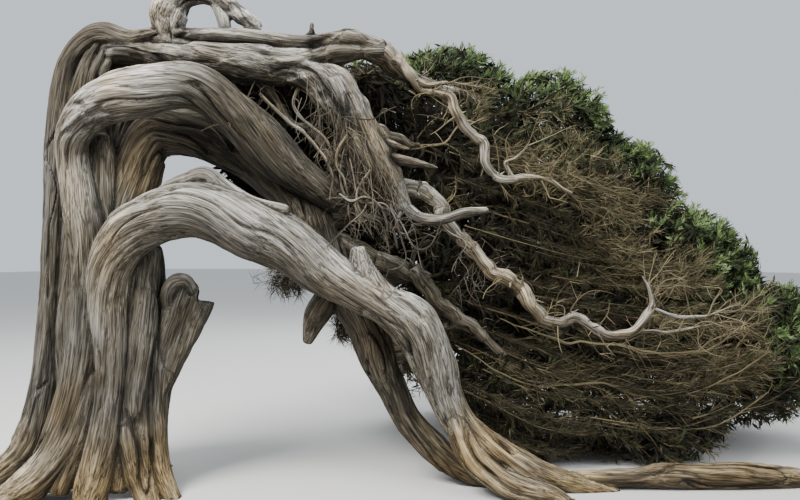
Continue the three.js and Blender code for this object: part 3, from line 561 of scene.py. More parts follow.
def cut_at_ground(points, faces):
    """Takes off what is below the ground and closes the cut."""
    faces = faces[(points[faces][:, :, 2] > 0).any(1)]
    points = points.copy()
    points[:, 2] = np.maximum(points[:, 2], 0)
    edges = edges_of(faces)
    open_edges = {}
    for a, b in edges[(points[edges][:, :, 2] < 1e-6).all(1)]:
        if (b, a) in open_edges:
            del open_edges[(b, a)]
        else:
            open_edges[(a, b)] = True
    after = {}
    for a, b in open_edges:
        after.setdefault(b, []).append(a)
    caps, middles = [], []
    while after:
        start = next(iter(after))
        loop, at = [start], start
        while after.get(at):
            at = after[at].pop()
            if at == start:
                break
            loop.append(at)
        after = {k: v for k, v in after.items() if v}
        if len(loop) > 2:
            caps.append(fan(len(points) + len(middles), np.array(loop)))
            middles.append(points[loop].mean(0))
    if caps:
        points = np.vstack([points, middles])
        faces = np.vstack([faces, *caps])
    return compacted(points, faces)[:2]


# The plank, whose flat front face comes forward away from its free edge
SLAB_LEAN = 0.3
SLAB_EDGE = 0.921


def slab_face(x):
    return SLAB_FRONT * MM - SLAB_LEAN * (SLAB_EDGE - x)


def slab_mesh():
    x, z = np.array(SLAB_OUTLINE, float).T * MM
    n = len(x)
    front = np.column_stack([x, slab_face(x), z])
    back = np.column_stack([x, np.full(n, (SLAB_FRONT + SLAB_THICKNESS) * MM), z])
    k = np.arange(n)
    faces = np.vstack([ring_walls(2, n), fan(2 * n, k, True), fan(2 * n + 1, n + k)])
    return np.vstack([front, back, front.mean(0), back.mean(0)]), faces


def flatness(points):
    """1 on the plank's front face and 0 elsewhere."""
    x, y, z = points.T
    edge = 0.57 + 0.2 * (z - 0.7)
    return (smoothstep(edge, edge + 0.04, x) * smoothstep(0.62, 0.74, z) * smoothstep(1.36, 1.3, z)
            * smoothstep(0.06, 0.03, np.abs(y - slab_face(x))))


# Grain and relief of the bark
# How far off a limb's surface its grain is looked for, and how many points are worked out at a time
REACH = 0.12
BATCH = 15000
# How far along the grain of each cord is shifted, so that no two look alike
GRAIN_SHIFT = 3.7
# How wide the change from one cord's relief to the next is
BLEND = 0.04
RIB_HEIGHT = 0.018
FIBRE_HEIGHT = 0.010
CRACK_DEPTH = 0.032
CREASE_DEPTH = 0.014
BUMP_HEIGHT = 0.03
GNARL_HEIGHT = 0.045
PIT_DEPTH = 0.02
GNARL_SIZE = np.array([0.2, 0.12, 0.12])


def grain_of(points, cords):
    """How each point lies to its two nearest cords: the gap, its place in the cord's frame, the radius, limb
    and look of the cord there, and the way that it lies off the cord."""
    n = len(points)
    near = {"gap": np.full((2, n), FAR), "local": np.zeros((2, n, 3)), "size": np.full((2, n), 0.05),
            "limb": np.zeros((2, n), int), "away": np.zeros((2, n, 3)),
            "look": np.tile(np.array(PLAIN_LOOK, float), (2, n, 1))}
    for index, cord in enumerate(cords):
        at, r = cord["at"], cord["r"]
        low, high = (at - r[:, None]).min(0) - REACH, (at + r[:, None]).max(0) + REACH
        close = np.nonzero(((points > low) & (points < high)).all(1))[0]
        for part in np.array_split(close, len(close) // BATCH + 1):
            if not len(part):
                continue
            p = points[part]
            squared = (p**2).sum(1)[:, None] - 2 * p @ at.T + (at**2).sum(1)[None]
            gap = np.sqrt(np.maximum(squared, 0)) - r[None]
            i = gap.argmin(1)
            off = p - at[i]
            along = (off * cord["t"][i]).sum(1)
            a, b = (off * cord["u"][i]).sum(1), (off * cord["v"][i]).sum(1)
            turn = -(cord["turn"][i] + cord["rate"][i] * along)
            spot = np.stack([a * np.cos(turn) - b * np.sin(turn), a * np.sin(turn) + b * np.cos(turn),
                             cord["run"][i] + along + index * GRAIN_SHIFT], 1)
            found = {"gap": gap[np.arange(len(part)), i], "local": spot, "size": r[i],
                     "limb": cord["limb"][i], "away": unit(off), "look": cord["look"][i]}
            first = found["gap"] < near["gap"][0, part]
            second = ~first & (found["gap"] < near["gap"][1, part])
            for key, values in found.items():
                near[key][1, part[first]] = near[key][0, part[first]]
                near[key][0, part[first]] = values[first]
                near[key][1, part[second]] = values[second]
    return near


def own_share(near):
    """How much the nearest cord counts at each point, against the next one."""
    return 0.5 + 0.5 * smoothstep(0, BLEND, near["gap"][1] - near["gap"][0])


def relief_of(points, near):
    """How far the bark stands out at each point, and a value from 0 in grooves to 1 on tops that darkens the
    colour in grooves and pits, partly as the bark's own colour and partly as painted shade.
    """
    weight = own_share(near)
    bent = np.stack([noise(points / 0.3, 11), noise(points / 0.3, 12), noise(points / 0.5, 13)], 1) - 0.5
    total, cavity = 0, 0
    for k, w in ((0, weight), (1, 1 - weight)):
        ribs = near["look"][k, :, RIBS]
        q = near["local"][k] + bent * [0.11, 0.11, 0.3]
        big = ridges(q / [0.095, 0.095, 1.0], 21)
        fine = ridges((q + bent * 0.03) / [0.036, 0.036, 0.5], 22)
        crack = cracks(q, [0.1, 0.1, 0.8], 0.14, [0.2, 0.2, 0.6], (0.48, 0.64), 24)
        height = RIB_HEIGHT * ribs * (big - 0.42) + FIBRE_HEIGHT * (fine - 0.42)
        total = total + w * (height - CRACK_DEPTH * (0.3 + 0.7 * ribs) * crack)
        tops = 1 - (0.4 + 0.6 * ribs) * (1 - 0.5 * big - 0.5 * fine)
        cavity = cavity + w * (tops - 0.6 * (0.5 + 0.5 * ribs) * crack)
    gnarl = near["look"][0, :, GNARL] * weight + near["look"][1, :, GNARL] * (1 - weight)
    knots = (points + 0.14 * bent) / GNARL_SIZE
    pits = smoothstep(0.6, 0.82, noise(knots + 0.37 * points[:, [2, 0, 1]] / 0.12, 28))
    total = total + gnarl * (GNARL_HEIGHT * (noise(knots, 27) - 0.5) - PIT_DEPTH * pits)
    cavity = cavity - 0.2 * gnarl * pits
    beside = smoothstep(0.3, 1.0, np.linalg.norm(near["away"][0] - near["away"][1], axis=1))
    step = (near["gap"][1] - near["gap"][0]) / 0.018
    crease = np.exp(-(step**2)) * (near["gap"][1] < 0.05) * beside
    thick = np.clip(near["size"][0] / 0.13, 0.22, 1.15)
    total = total * thick - CREASE_DEPTH * crease * thick
    total = total + BUMP_HEIGHT * thick * (noise(points / [0.24, 0.24, 0.4], 26) - 0.5)
    flat = flatness(points)
    # The creases between limbs are darkened further: painted shade.
    return total * (1 - 0.8 * flat), np.clip(cavity - 0.3 * crease, 0, 1) * (1 - flat) + 0.55 * flat


# The cords that the bark is fused from
THIN_LIMBS = ["dead_limb_top_near", "dead_limb_top_far", "dead_limb_low_near", "dead_limb_low_far"]
# Stops in mm that let the end of a limb, or of its snag, run out into the ground
ENDS = {
    "arch_foot": [[3810, -155, -45, 38]], "back_stem_lower": [[3120, -85, -60, 55]],
    "lying_limb": [[5480, -50, -35, 30]], "arch_foot_toe": [[3430, -345, -55, 45]],
}
# Where the spur's grain leaves the upper bough, in mm
SPUR_ROOT = [[1150, 50, 3060, 105], [1470, 70, 3030, 125], [1630, 75, 2970, 150]]


def routes(*names):
    return [(name, BOUGHS[name]["route"] + ENDS.get(name, [])) for name in names]


# Limbs whose grain runs on from one to the next, out of the trunk's own cords. Before each run stand the
# rounds that ease it and the ropes that wind along it.
RUNS = [
    (12, 2, [("trunk", TRUNK_CORDS["arch"]), *routes("arch_rise", "arch_span", "arch_fall", "arch_foot")]),
    (60, 2, [("trunk", TRUNK_CORDS["middle"][:-1]), *routes("middle_near", "middle_far")]),
    (12, 6, [("trunk", TRUNK_CORDS["under"][:-1]),
             *routes("under_bough", "back_stem_upper", "back_stem_lower")]),
    (12, 5, [("trunk", TRUNK_CORDS["windward"]), ("upper_bough", BOUGHS["upper_bough"]["snags"][0])]),
    (12, 6, [("trunk", TRUNK_CORDS["top_filling"]), *routes("upper_bough")]),
    (8, 6, [("upper_bough", SPUR_ROOT), ("spur_bough", BOUGHS["spur_bough"]["route"][1:])]),
]
SINGLE_CORDS = ("core", "back_left", "lee", "lee_outer", "back_foot", "back_right")
# The rib behind the plank's flat face, and the curled knob over it, in mm
SLAB_RIB = [[440, -110, 500, 95], [550, -110, 860, 100], [650, -115, 1180, 108], [730, -130, 1430, 130]]
KNOB = [[655, -150, 1280, 70], [655, -200, 1390, 76], [705, -225, 1465, 70], [775, -215, 1465, 58],
        [808, -205, 1400, 42]]
# Wood that fills the clefts between the trunk's cords, in mm
FILLERS = [
    [[360, -330, 60, 70], [345, -255, 350, 110], [355, -200, 800, 122], [365, -180, 1200, 112],
     [390, -140, 1560, 90]],
    [[-20, -400, 80, 80], [100, -330, 420, 110], [170, -270, 860, 128], [190, -240, 1250, 120],
     [170, -180, 1600, 100]],
    [[210, -110, 1650, 90], [165, -90, 1850, 110], [130, -90, 2080, 115], [120, -80, 2300, 105],
     [110, -60, 2480, 80]],
    [[120, 40, 2930, 70], [260, 40, 2985, 62], [400, 40, 2960, 60]],
    [[-25, -225, 2400, 95], [0, -262, 2540, 100], [80, -295, 2640, 112], [210, -310, 2710, 120]],
]
# Where the loop's foot widens into the upper bough, in mm
LOOP_FOOT = [[360, 30, 3190, 60], [500, 45, 3230, 110], [640, 55, 3220, 105], [800, 40, 3200, 50]]
# Upright splinters in the hollow under the trunk's top, in mm
SPLINTERS = [
    [[-150, 10, 2640, 40], [-105, 0, 2860, 46], [-50, 0, 3040, 40], [0, 20, 3170, 26]],
    [[-60, -60, 2700, 34], [-30, -60, 2930, 38], [20, -40, 3110, 30], [60, 0, 3220, 20]],
    [[30, -80, 2740, 34], [40, -70, 2930, 36], [90, -40, 3090, 30], [120, 0, 3190, 22]],
    [[110, -60, 2820, 30], [120, -50, 2980, 34], [170, -20, 3110, 24]],
    [[180, 60, 2440, 80], [230, 80, 2640, 92], [340, 70, 2760, 70]],
]
# How many steps of its limb a snag's run-up takes back, and how far each stop is drawn to the snag's root
RUN_UP = ((15, 0.0), (8, 0.35))
# Only limbs at least this thick and long have ropes, whose radius is a share of the limb's
ROPED_RADIUS = 0.085
ROPED_LENGTH = 0.5
ROPE_THICKNESS = 0.34
ROPE_RISE = 0.32


def run_up(stops, cords):
    """Two stops inside the limb that a snag parts from, so that its fibres rise out of the limb's own."""
    start = np.array(stops[0][:3]) * MM
    way = np.array(stops[1][:3]) - np.array(stops[0][:3])
    host = min(cords, key=lambda cord: (np.linalg.norm(cord["at"] - start, axis=1) - cord["r"]).min())
    i = np.linalg.norm(host["at"] - start, axis=1).argmin()
    back = -1 if way @ host["t"][i] > 0 else 1
    made = []
    for steps, hold in RUN_UP:
        place = host["at"][np.clip(i + back * steps, 0, len(host["at"]) - 1)]
        place = place * (1 - hold) + start * hold
        made.append([*(place / MM), (0.55 + 0.4 * hold) * stops[0][3]])
    return made


def bark_cords():
    """The cords of every limb with fused bark, the long runs first."""
    cords = [cord_of(*run, ease=ease, ropes=ropes) for ease, ropes, run in RUNS]
    cords += [cord_of(("trunk", TRUNK_CORDS[name])) for name in SINGLE_CORDS]
    cords.append(cord_of(("trunk", SLAB_RIB), ropes=0))
    cords += [cord_of(("trunk", stops)) for stops in [KNOB, *FILLERS]]
    cords.append(cord_of(("top_loop", LOOP_FOOT)))
    cords += [cord_of(*routes(name)) for name in ("top_loop", "spur_arm", "lying_limb", "hanging_stub")]
    for name, limb in BOUGHS.items():
        if name not in THIN_LIMBS:
            # The upper bough's first snag is already part of a run
            for stops in limb.get("snags", [])[1 if name == "upper_bough" else 0:]:
                cords.append(cord_of((name, run_up(stops, cords) + stops + ENDS.get(name + "_toe", []))))
    return cords + [cord_of(("trunk", stops)) for stops in SPLINTERS]


def ropes_of(cord, rng):
    """Thinner cords that wind along a limb's surface."""
    if cord["mean"] <= ROPED_RADIUS or cord["run"][-1] <= ROPED_LENGTH:
        return []
    made = []
    s = cord["run"]
    for k in range(cord["ropes"]):
        begin = int(rng.uniform(0, 0.5) * (len(s) - 8))
        span = slice(begin, max(int(rng.uniform(0.5, 1) * len(s)), begin + 8))
        keys = ("at", "r", "u", "v", "run", "turn", "limb")
        at, r, u, v, run, turn, limbs = (cord[key][span] for key in keys)
        if len(at) < 6:
            continue
        angle = 2 * math.pi * (k + 0.6 * rng.random()) / cord["ropes"] + turn
        angle = angle + 0.4 * np.sin(run / rng.uniform(0.25, 0.6) + rng.uniform(0, 6))
        own = r * ROPE_THICKNESS * rng.uniform(0.7, 1.2)
        taper = smoothstep(0, ROPE_RISE, run - run[0]) * smoothstep(0, ROPE_RISE, run[-1] - run)
        out = r - own * (2.1 - (1.0 + 0.35 * cord["look"][span][:, RIBS]) * taper)
        places = at + out[:, None] * (np.cos(angle)[:, None] * u + np.sin(angle)[:, None] * v)
        made.append(make_cord(eased(places, 8), np.maximum(own * (0.35 + 0.65 * taper), 0.008), limbs))
    return made


# The fused bark
VOXEL = 0.0085
# How many rounds soften the clefts of the thick limbs
SOFT_ROUNDS = 12
BARK_TRIANGLES = 230000
SHELTER_RAYS = 7
SHELTER_REACH = 0.6


def fused_bark(cords, ropes):
    """One skin over the cords, the ropes and the plank, with the bark's relief, cut at the ground."""
    parts = [tube(cord, 26 if cord["mean"] > 0.06 else 14, 0.975) for cord in cords]
    parts += [tube(rope, 10) for rope in ropes]
    parts.append(slab_mesh())
    points, faces = modified(*merge(parts), "REMESH", mode="VOXEL", voxel_size=VOXEL)
    points = smoothed(points, faces, 3, 0.5)
    near = grain_of(points, cords)
    points = smoothed(points, faces, SOFT_ROUNDS, 0.5 * smoothstep(0.05, 0.1, near["size"][0])[:, None])
    out, _ = relief_of(points, near)
    points = points + vertex_normals(points, faces) * out[:, None]
    share = min(1.0, BARK_TRIANGLES / len(faces))
    if share < 1:
        points, faces = modified(points, faces, "DECIMATE", ratio=share)
    return cut_at_ground(points, faces)


def openness(points, faces, normals):
    """The share of short rays from each point that meet nothing, evened out over its neighbours."""
    tree = BVHTree.FromPolygons(points.tolist(), faces.tolist())
    count = np.zeros(len(points))
    spread = np.random.default_rng(5).normal(size=(SHELTER_RAYS, 3))
    starts = [Vector(p) for p in (points + normals * 0.006).tolist()]
    for way in unit(spread):
        ways = unit(normals * 1.1 + way + 0.45 * UP).tolist()
        count += [tree.ray_cast(p, Vector(d), SHELTER_REACH)[0] is None for p, d in zip(starts, ways)]
    field = np.column_stack([count / SHELTER_RAYS] * 3)
    return smoothed(field, faces, 4, 0.6)[:, 0]


# Materials
# The sockets of a Mix node that mixes colours
COLOUR_A, COLOUR_B, MIXED_COLOUR = 6, 7, 2
GREY_WOOD = [(0.37, (0.12, 0.105, 0.083)), (0.45, (0.30, 0.277, 0.237)), (0.54, (0.50, 0.478, 0.435)),
             (0.62, (0.74, 0.72, 0.68))]
BROWN_WOOD = [(0.37, (0.055, 0.043, 0.026)), (0.45, (0.145, 0.117, 0.073)), (0.54, (0.255, 0.212, 0.145)),
              (0.62, (0.42, 0.365, 0.265))]
EARTH_COLOUR = (1.0, 0.84, 0.58, 1)
# How grey each value of a split, of the relief and of the light makes the wood. The relief's dark grooves and
# creases are partly painted shade.
SPLIT_SHADE = [(0.0, 0.22), (0.016, 0.5), (0.045, 1.0)]
RELIEF_SHADE = [(0.0, 0.2), (0.16, 0.62), (0.4, 0.97), (0.8, 1.12)]
LIGHT_SHADE = [(0.0, 0.14), (0.3, 0.34), (0.5, 0.53), (0.8, 0.96), (1.0, 1.1)]


class Surface:
    """A material whose nodes are added one at a time."""

    def __init__(self, name):
        self.material = bpy.data.materials.new(name)
        self.material.use_nodes = True
        self.tree = self.material.node_tree
        self.shader = self.tree.nodes["Principled BSDF"]

    def feed(self, node, inputs):
        """Links each input that is given a socket, and sets the others."""
        for key, value in inputs.items():
            if isinstance(value, bpy.types.NodeSocket):
                self.tree.links.new(value, node.inputs[key])
            else:
                node.inputs[key].default_value = value

    def add(self, kind, inputs, output, **settings):
        """The output of a new node."""
        node = self.tree.nodes.new("ShaderNode" + kind)
        for key, value in settings.items():
            setattr(node, key, value)
        self.feed(node, inputs)
        return node.outputs[output]

    def ramp(self, values, stops):
        """The colour that the values pick from stops of (place, colour)."""
        colour = self.add("ValToRGB", {"Fac": values}, "Color")
        elements = colour.node.color_ramp.elements
        while len(elements) < len(stops):
            elements.new(0.5)
        for element, (place, shade) in zip(elements, stops):
            element.position = place
            element.color = (*shade, 1)
        return colour

    def grey_ramp(self, values, stops):
        return self.ramp(values, [(place, (value, value, value)) for place, value in stops])

    def multiplied(self, colour, other, share=1.0):
        return self.add("Mix", {"Factor": share, COLOUR_A: colour, COLOUR_B: other}, MIXED_COLOUR,
                        data_type="RGBA", blend_type="MULTIPLY")


def bark_material(name):
    """Silver and brown wood with fibres and splits, with painted light and shade from the values that each
    point carries.
    """
    made = Surface(name)

    def read(attribute, output="Fac"):
        return made.add("Attribute", {}, output, attribute_name=attribute)

    grain = read("grain", "Vector")

    def streaks(across, along, detail):
        place = made.add("Mapping", {"Scale": (1 / across, 1 / across, 1 / along), "Vector": grain}, "Vector")
        settings = {"Scale": 1.0, "Detail": detail, "Roughness": 0.65, "Vector": place}
        return made.add("TexNoise", settings, "Fac")

    fibres, bands, splits = streaks(0.010, 0.34, 3), streaks(0.035, 0.8, 2), streaks(0.034, 1.0, 3)
    fine = made.add("Mix", {"Factor": 0.35, "A": fibres, "B": bands}, "Result")
    greys, browns = made.ramp(fine, GREY_WOOD), made.ramp(fine, BROWN_WOOD)
    wood = made.add("Mix", {"Factor": read("tone"), COLOUR_A: greys, COLOUR_B: browns}, MIXED_COLOUR,
                    data_type="RGBA")
    centred = made.add("Math", {0: splits, 1: 0.5}, "Value", operation="SUBTRACT")
    depth = made.add("Math", {0: centred}, "Value", operation="ABSOLUTE")
    shades = (depth, SPLIT_SHADE), (read("relief"), RELIEF_SHADE), (read("light"), LIGHT_SHADE)
    for values, stops in shades:
        wood = made.multiplied(wood, made.grey_ramp(values, stops))
    wood = made.multiplied(wood, EARTH_COLOUR, read("earth"))
    rough = made.grey_ramp(fine, [(0.4, 0.95), (0.65, 0.75)])
    made.feed(made.shader, {"Base Color": wood, "Roughness": rough, "Specular IOR Level": 0.25})
    bumps = {}
    for values, strength, distance in ((fibres, 0.9, 0.008), (depth, 0.6, 0.05), (bands, 0.5, 0.016)):
        height = {"Strength": strength, "Distance": distance, "Height": values}
        bumps = {"Normal": made.add("Bump", height | bumps, "Normal")}
    made.feed(made.shader, bumps)
    return made.material


def plain(name, colour, roughness=0.8):
    """A plain colour that is dealt out by spray or twig, with a fine grain in its surface."""
    made = Surface(name)
    place = made.add("TexCoord", {}, "Object")
    speckle = made.add("TexNoise", {"Scale": 160.0, "Vector": place}, "Fac")
    normal = made.add("Bump", {"Strength": 0.3, "Distance": 0.002, "Height": speckle}, "Normal")
    made.feed(made.shader, {"Base Color": (*colour, 1), "Roughness": roughness, "Specular IOR Level": 0.2,
                            "Normal": normal})
    return made.material


def colours_of(named):
    return [plain(name, colour) for name, colour in named.items()]


bark = bark_material("bark_silver")
twig_colours = colours_of({
    "twig_dark": (0.036, 0.03, 0.018), "twig_brown": (0.083, 0.067, 0.036), "twig_pale": (0.19, 0.155, 0.09)})
sweep_colours = [*twig_colours[:2], plain("twig_tan", (0.12, 0.098, 0.054))]
arching_colours = [sweep_colours[2], plain("twig_ochre", (0.1, 0.08, 0.04))]
root_colours = colours_of({
    "root_dark": (0.035, 0.029, 0.02), "root_brown": (0.08, 0.068, 0.048),
    "root_grey": (0.145, 0.127, 0.096)})
green_colours = [
    plain("scale_leaf_deep", (0.038, 0.062, 0.025), 0.6), plain("scale_leaf", (0.07, 0.115, 0.042), 0.6),
    plain("scale_leaf_dull", (0.088, 0.118, 0.048), 0.7),
    plain("scale_leaf_bright", (0.14, 0.205, 0.07), 0.6), plain("scale_leaf_pale", (0.23, 0.31, 0.14), 0.6)]
brown_colours = colours_of({
    "dry_spray_dark": (0.026, 0.0235, 0.0125), "dry_spray_olive": (0.044, 0.043, 0.019),
    "dry_spray": (0.068, 0.06, 0.029), "dry_spray_pale": (0.12, 0.104, 0.053)})
shade_colours = colours_of({
    "shaded_twigs": (0.014, 0.012, 0.008), "shaded_sprays": (0.02, 0.02, 0.0115),
    "shaded_leaves": (0.028, 0.038, 0.016)})


# The values that the bark's material reads
def tone_of(points, normals, base):
    """How brown the wood is: in patches, more so near the ground, and more so where it faces down, which is
    painted shade.
    """
    patches = noise(points / 0.28, 41) - 0.5 + 0.6 * (noise(points / 0.08, 42) - 0.5)
    low = smoothstep(0.9, 0.0, points[:, 2]) * 0.25
    # Wood that faces down is made browner and so darker: painted shade.
    return np.clip(base + 0.7 * patches - 0.5 * normals[:, 2] + low, 0, 1)


def earth_of(points):
    """How far the wood takes the colour of the ground, low down and in patches."""
    patches = noise(points / 0.35, 43)
    low = smoothstep(0.75, 0.0, points[:, 2]) * (0.3 + 0.9 * patches)
    return np.clip(low + 0.5 * smoothstep(0.5, 0.8, patches), 0, 1)


def set_attributes(obj, grain, **fields):
    attributes = obj.data.attributes
    vector = attributes.new("grain", "FLOAT_VECTOR", "POINT")
    vector.data.foreach_set("vector", np.ascontiguousarray(grain, np.float32).ravel())
    for name, values in fields.items():
        field = attributes.new(name, "FLOAT", "POINT")
        field.data.foreach_set("value", np.ascontiguousarray(values, np.float32))


# The pieces of bark and the limbs that each stands for
BARK_PIECES = {
    "bark_trunk": ["trunk"], "bark_arch": ["arch_rise", "arch_span"],
    "bark_arch_foot": ["arch_fall", "arch_foot", "lying_limb"], "bark_middle": ["middle_near", "middle_far"],
    "bark_back_stem": ["back_stem_upper", "back_stem_lower", "hanging_stub"],
    "bark_upper": ["upper_bough", "top_loop", "under_bough"], "bark_spur": ["spur_bough", "spur_arm"],
}
# Sheltered wood that still gets light: middle, reach and how much
LIT_HOLLOWS = [((0.42, -0.15, 2.3), 0.22, 0.9), ((0.15, -0.1, 2.15), 0.2, 0.2)]


def light_on(points, normals, open_share, light_level):
    """How much light the wood gets: more from above, near the ground and in some hollows."""
    near_ground = smoothstep(0.7, 0.1, points[:, 2])
    light = open_share * (0.55 + 0.45 * normals[:, 2]) * light_level * (1 + 1.2 * near_ground)
    return light * (0.84 + 0.32 * noise(points / [0.09, 0.09, 0.2], 44)) + glow(points, LIT_HOLLOWS)


def dress_bark(points, faces, cords):
    """Shares the fused bark out over its pieces, with the values that its material reads."""
    near = grain_of(points, cords)
    _, cavity = relief_of(points, near)
    normals = vertex_normals(points, faces)
    open_share = openness(points, faces, normals)
    share = own_share(near)[:, None]
    look = near["look"][0] * share + near["look"][1] * (1 - share)
    light = light_on(points, normals, open_share, look[:, LIGHT])
    # Sheltered wood is made browner and so darker: painted shade.
    tone = tone_of(points, normals, look[:, BROWN] + 0.25 * (1 - open_share))
    piece_of_limb = np.zeros(len(LIMBS), int)
    for number, limbs in enumerate(BARK_PIECES.values()):
        piece_of_limb[[LIMBS.index(limb) for limb in limbs]] = number
    piece_of_face = np.sort(piece_of_limb[near["limb"][0]][faces], axis=1)[:, 1]
    for number, (name, limbs) in enumerate(BARK_PIECES.items()):
        p, f, used = compacted(points, faces[piece_of_face == number])
        obj = new_object(name, p, f, [bark])
        set_attributes(obj, near["local"][0][used], relief=cavity[used], tone=tone[used], light=light[used],
                       earth=earth_of(p))
        obj.data.normals_split_custom_set_from_vertices(normals[used].astype(np.float32))
        put_on_tree(obj, limbs)


windings = np.random.default_rng(7)
cords = bark_cords()
ropes = [rope for cord in cords for rope in ropes_of(cord, windings)]
dress_bark(*fused_bark(cords, ropes), cords)


# Limbs that stay plain tubes with their own relief
def roughened(places, radii, rng, kink=0.35, lump=0.22):
    """The same line with kinks and lumps in step with its thickness."""
    places, radii = places.copy(), radii.copy()
    run = run_along(places)
    spot = np.column_stack([run / 0.11, np.full(len(run), rng.uniform(0, 99)), np.zeros(len(run))])
    ease = smoothstep(0, 0.12, run) * smoothstep(0, 0.05, run[-1] - run)
    for axis in range(3):
        places[:, axis] += kink * radii * ease * 2 * (noise(spot + [0, 7 * axis, 0], 81) - 0.5)
    radii *= 1 + lump * 2 * (noise(spot * [2.1, 1, 1], 82) - 0.5)
    return places, radii


def dressed_tubes(name, lines, sides, brown, light_level, nodes=(), knotty=0.3):
    """Tubes with bark relief round (places, radii) lines, joined into one piece."""
    made, grains, values = [], [], []
    for index, (places, radii) in enumerate(lines):
        cord = make_cord(places, radii, np.ones(len(places), int))
        p, f = tube(cord, sides if radii.mean() > 0.02 else max(5, sides // 2))
        near = grain_of(p, [cord])
        q = near["local"][0] + [0, 0, 5.3 * index]
        normal = vertex_normals(p, f)
        flute = 0.6 * ridges(q / [0.03, 0.03, 0.3], 52) + 0.4 * ridges(q / [0.012, 0.012, 0.16], 53)
        knots = noise(p / 0.05, 54) - 0.5
        crack = cracks(q, [0.035, 0.035, 0.4], 0.16, [0.1, 0.1, 0.4], (0.4, 0.55), 55)
        out = near["size"][0] * (0.5 * (flute - 0.5) + knotty * knots - 0.35 * crack)
        p = p + normal * out[:, None]
        p[:, 2] = np.maximum(p[:, 2], 0.0)
        made.append((p, f))
        grains.append(q)
        # Grooves and cracks are darkened, partly as painted shade, and the light is painted light, stronger
        # on top.
        values.append([(0.2 + 0.8 * flute) * (1 - 0.75 * crack), tone_of(p, normal, brown),
                       light_level * (0.6 + 0.35 * normal[:, 2])])
    p, f = merge(made)
    obj = new_object(name, p, f, [bark])
    relief, tone, light = np.hstack(values)
    set_attributes(obj, np.vstack(grains), relief=relief, tone=tone, light=light, earth=earth_of(p))
    put_on_tree(obj, nodes)


def lines_of(stops_list, step, rng, **rough):
    """A roughened line along each list of stops."""
    made = []
    for stops in stops_list:
        places, radii, _ = sample_route(stops, max(5, int(length_of(stops) / step) + 2))
        made.append(roughened(places, radii, rng, **rough))
    return made


def wander(rng, start, way, length, radius, curl, pull, step=0.04, end=0.3):
    """A line of its own that turns about as it goes, drawn towards `pull`."""
    way = unit(np.array(way, float))
    axis, rate = unit(rng.normal(size=3)), curl * rng.normal()
    places = [np.array(start, float)]
    for k in range(max(3, int(length / step))):
        if k % 4 == 3:
            axis, rate = unit(axis + rng.normal(size=3)), curl * rng.normal()
        way = unit(way + step * (rate * np.cross(axis, way) + np.array(pull)))
        places.append(places[-1] + way * step)
    return np.array(places), radius * np.linspace(1, end, len(places))


def in_box(line):
    """If a line keeps to the box of the CAD part."""
    places = line[0]
    return (places > np.array(cad_low) - 0.03).all() and (places < np.array(cad_high) + 0.03).all()


# How thick the long dead limbs and their snags are, as shares of what the part's source gives them
LIMB_SHARE = 0.86
SNAG_SHARE = 0.64
SNAPPED_RADIUS = 0.03


def dead_limb_lines(rng):
    near_ends, far_ends = ([BOUGHS[name]["route"] for name in THIN_LIMBS[i::2]] for i in (0, 1))
    runs = [near + far[1:] for near, far in zip(near_ends, far_ends)]
    snags = [stops for name in THIN_LIMBS for stops in BOUGHS[name].get("snags", [])]
    lines = lines_of(runs + snags, 0.01, rng, kink=0.6, lump=0.14)
    shares = [LIMB_SHARE] * len(runs) + [SNAG_SHARE] * len(snags)
    return [(places, radii * share) for (places, radii), share in zip(lines, shares)]


def twigs_along(lines, rng):
    """Short stubs and side twigs along each dead limb."""
    stubs, twigs = [], []
    for places, radii in lines:
        run = len(places)
        for _ in range(int(run / 7)):
            i = rng.integers(max(4, run // 8), run - 1)
            way = unit(rng.normal(size=3) + [0.6, -0.2, 0.1])
            if radii[i] > SNAPPED_RADIUS and rng.random() < 0.35:
                length = rng.uniform(0.05, 0.14)
                stubs.append(wander(rng, places[i], way, length, radii[i] * 0.4, 6, (0, 0, 0), 0.018, 0.15))
                continue
            length = rng.uniform(0.12, 0.5)
            twig = wander(rng, places[i], way, length, rng.uniform(0.004, 0.008), 9, (1.2, -0.2, -0.6), 0.03)
            twigs.append(twig)
            for _ in range(int(length / 0.1)):
                root = twig[0][rng.integers(1, len(twig[0]) - 1)]
                way = rng.normal(size=3) + [0.9, -0.2, 0]
                twigs.append(wander(rng, root, way, rng.uniform(0.06, 0.2), 0.0035, 9, (0.8, 0, 0), 0.03))
    return stubs, twigs


def twigs_at_ends(lines, rng):
    """A brush of fine twigs near the end of each dead limb."""
    twigs = []
    for places, _ in lines:
        for _ in range(5):
            i = rng.integers(int(0.7 * len(places)), len(places) - 1)
            way = unit(unit(places[i + 1] - places[i - 1]) + 0.45 * rng.normal(size=3) + [0.4, 0, 0])
            twig = wander(rng, places[i], way, rng.uniform(0.2, 0.5), rng.uniform(0.003, 0.005), 5,
                          (0.8, 0.1, -0.2), 0.04)
            twigs.append(twig)
            for root in twig[0][2:-1]:
                own_way = way + 0.8 * rng.normal(size=3)
                twigs.append(wander(rng, root, own_way, rng.uniform(0.04, 0.15), 0.0025, 6, (0.8, 0.1, 0)))
    return twigs


strays = np.random.default_rng(31)
dead_lines = dead_limb_lines(strays)
stubs, side_twigs = twigs_along(dead_lines, strays)
side_twigs += twigs_at_ends(dead_lines, strays)
dressed_tubes("dead_limbs", dead_lines + stubs, 18, 0.68, 1.15, THIN_LIMBS)
inner_lines = lines_of(CROWN_BOUGHS.values(), 0.025, strays, kink=0.3, lump=0.1)
dressed_tubes("inner_boughs", inner_lines, 14, 1.0, 0.9, list(CROWN_BOUGHS), 0.1)

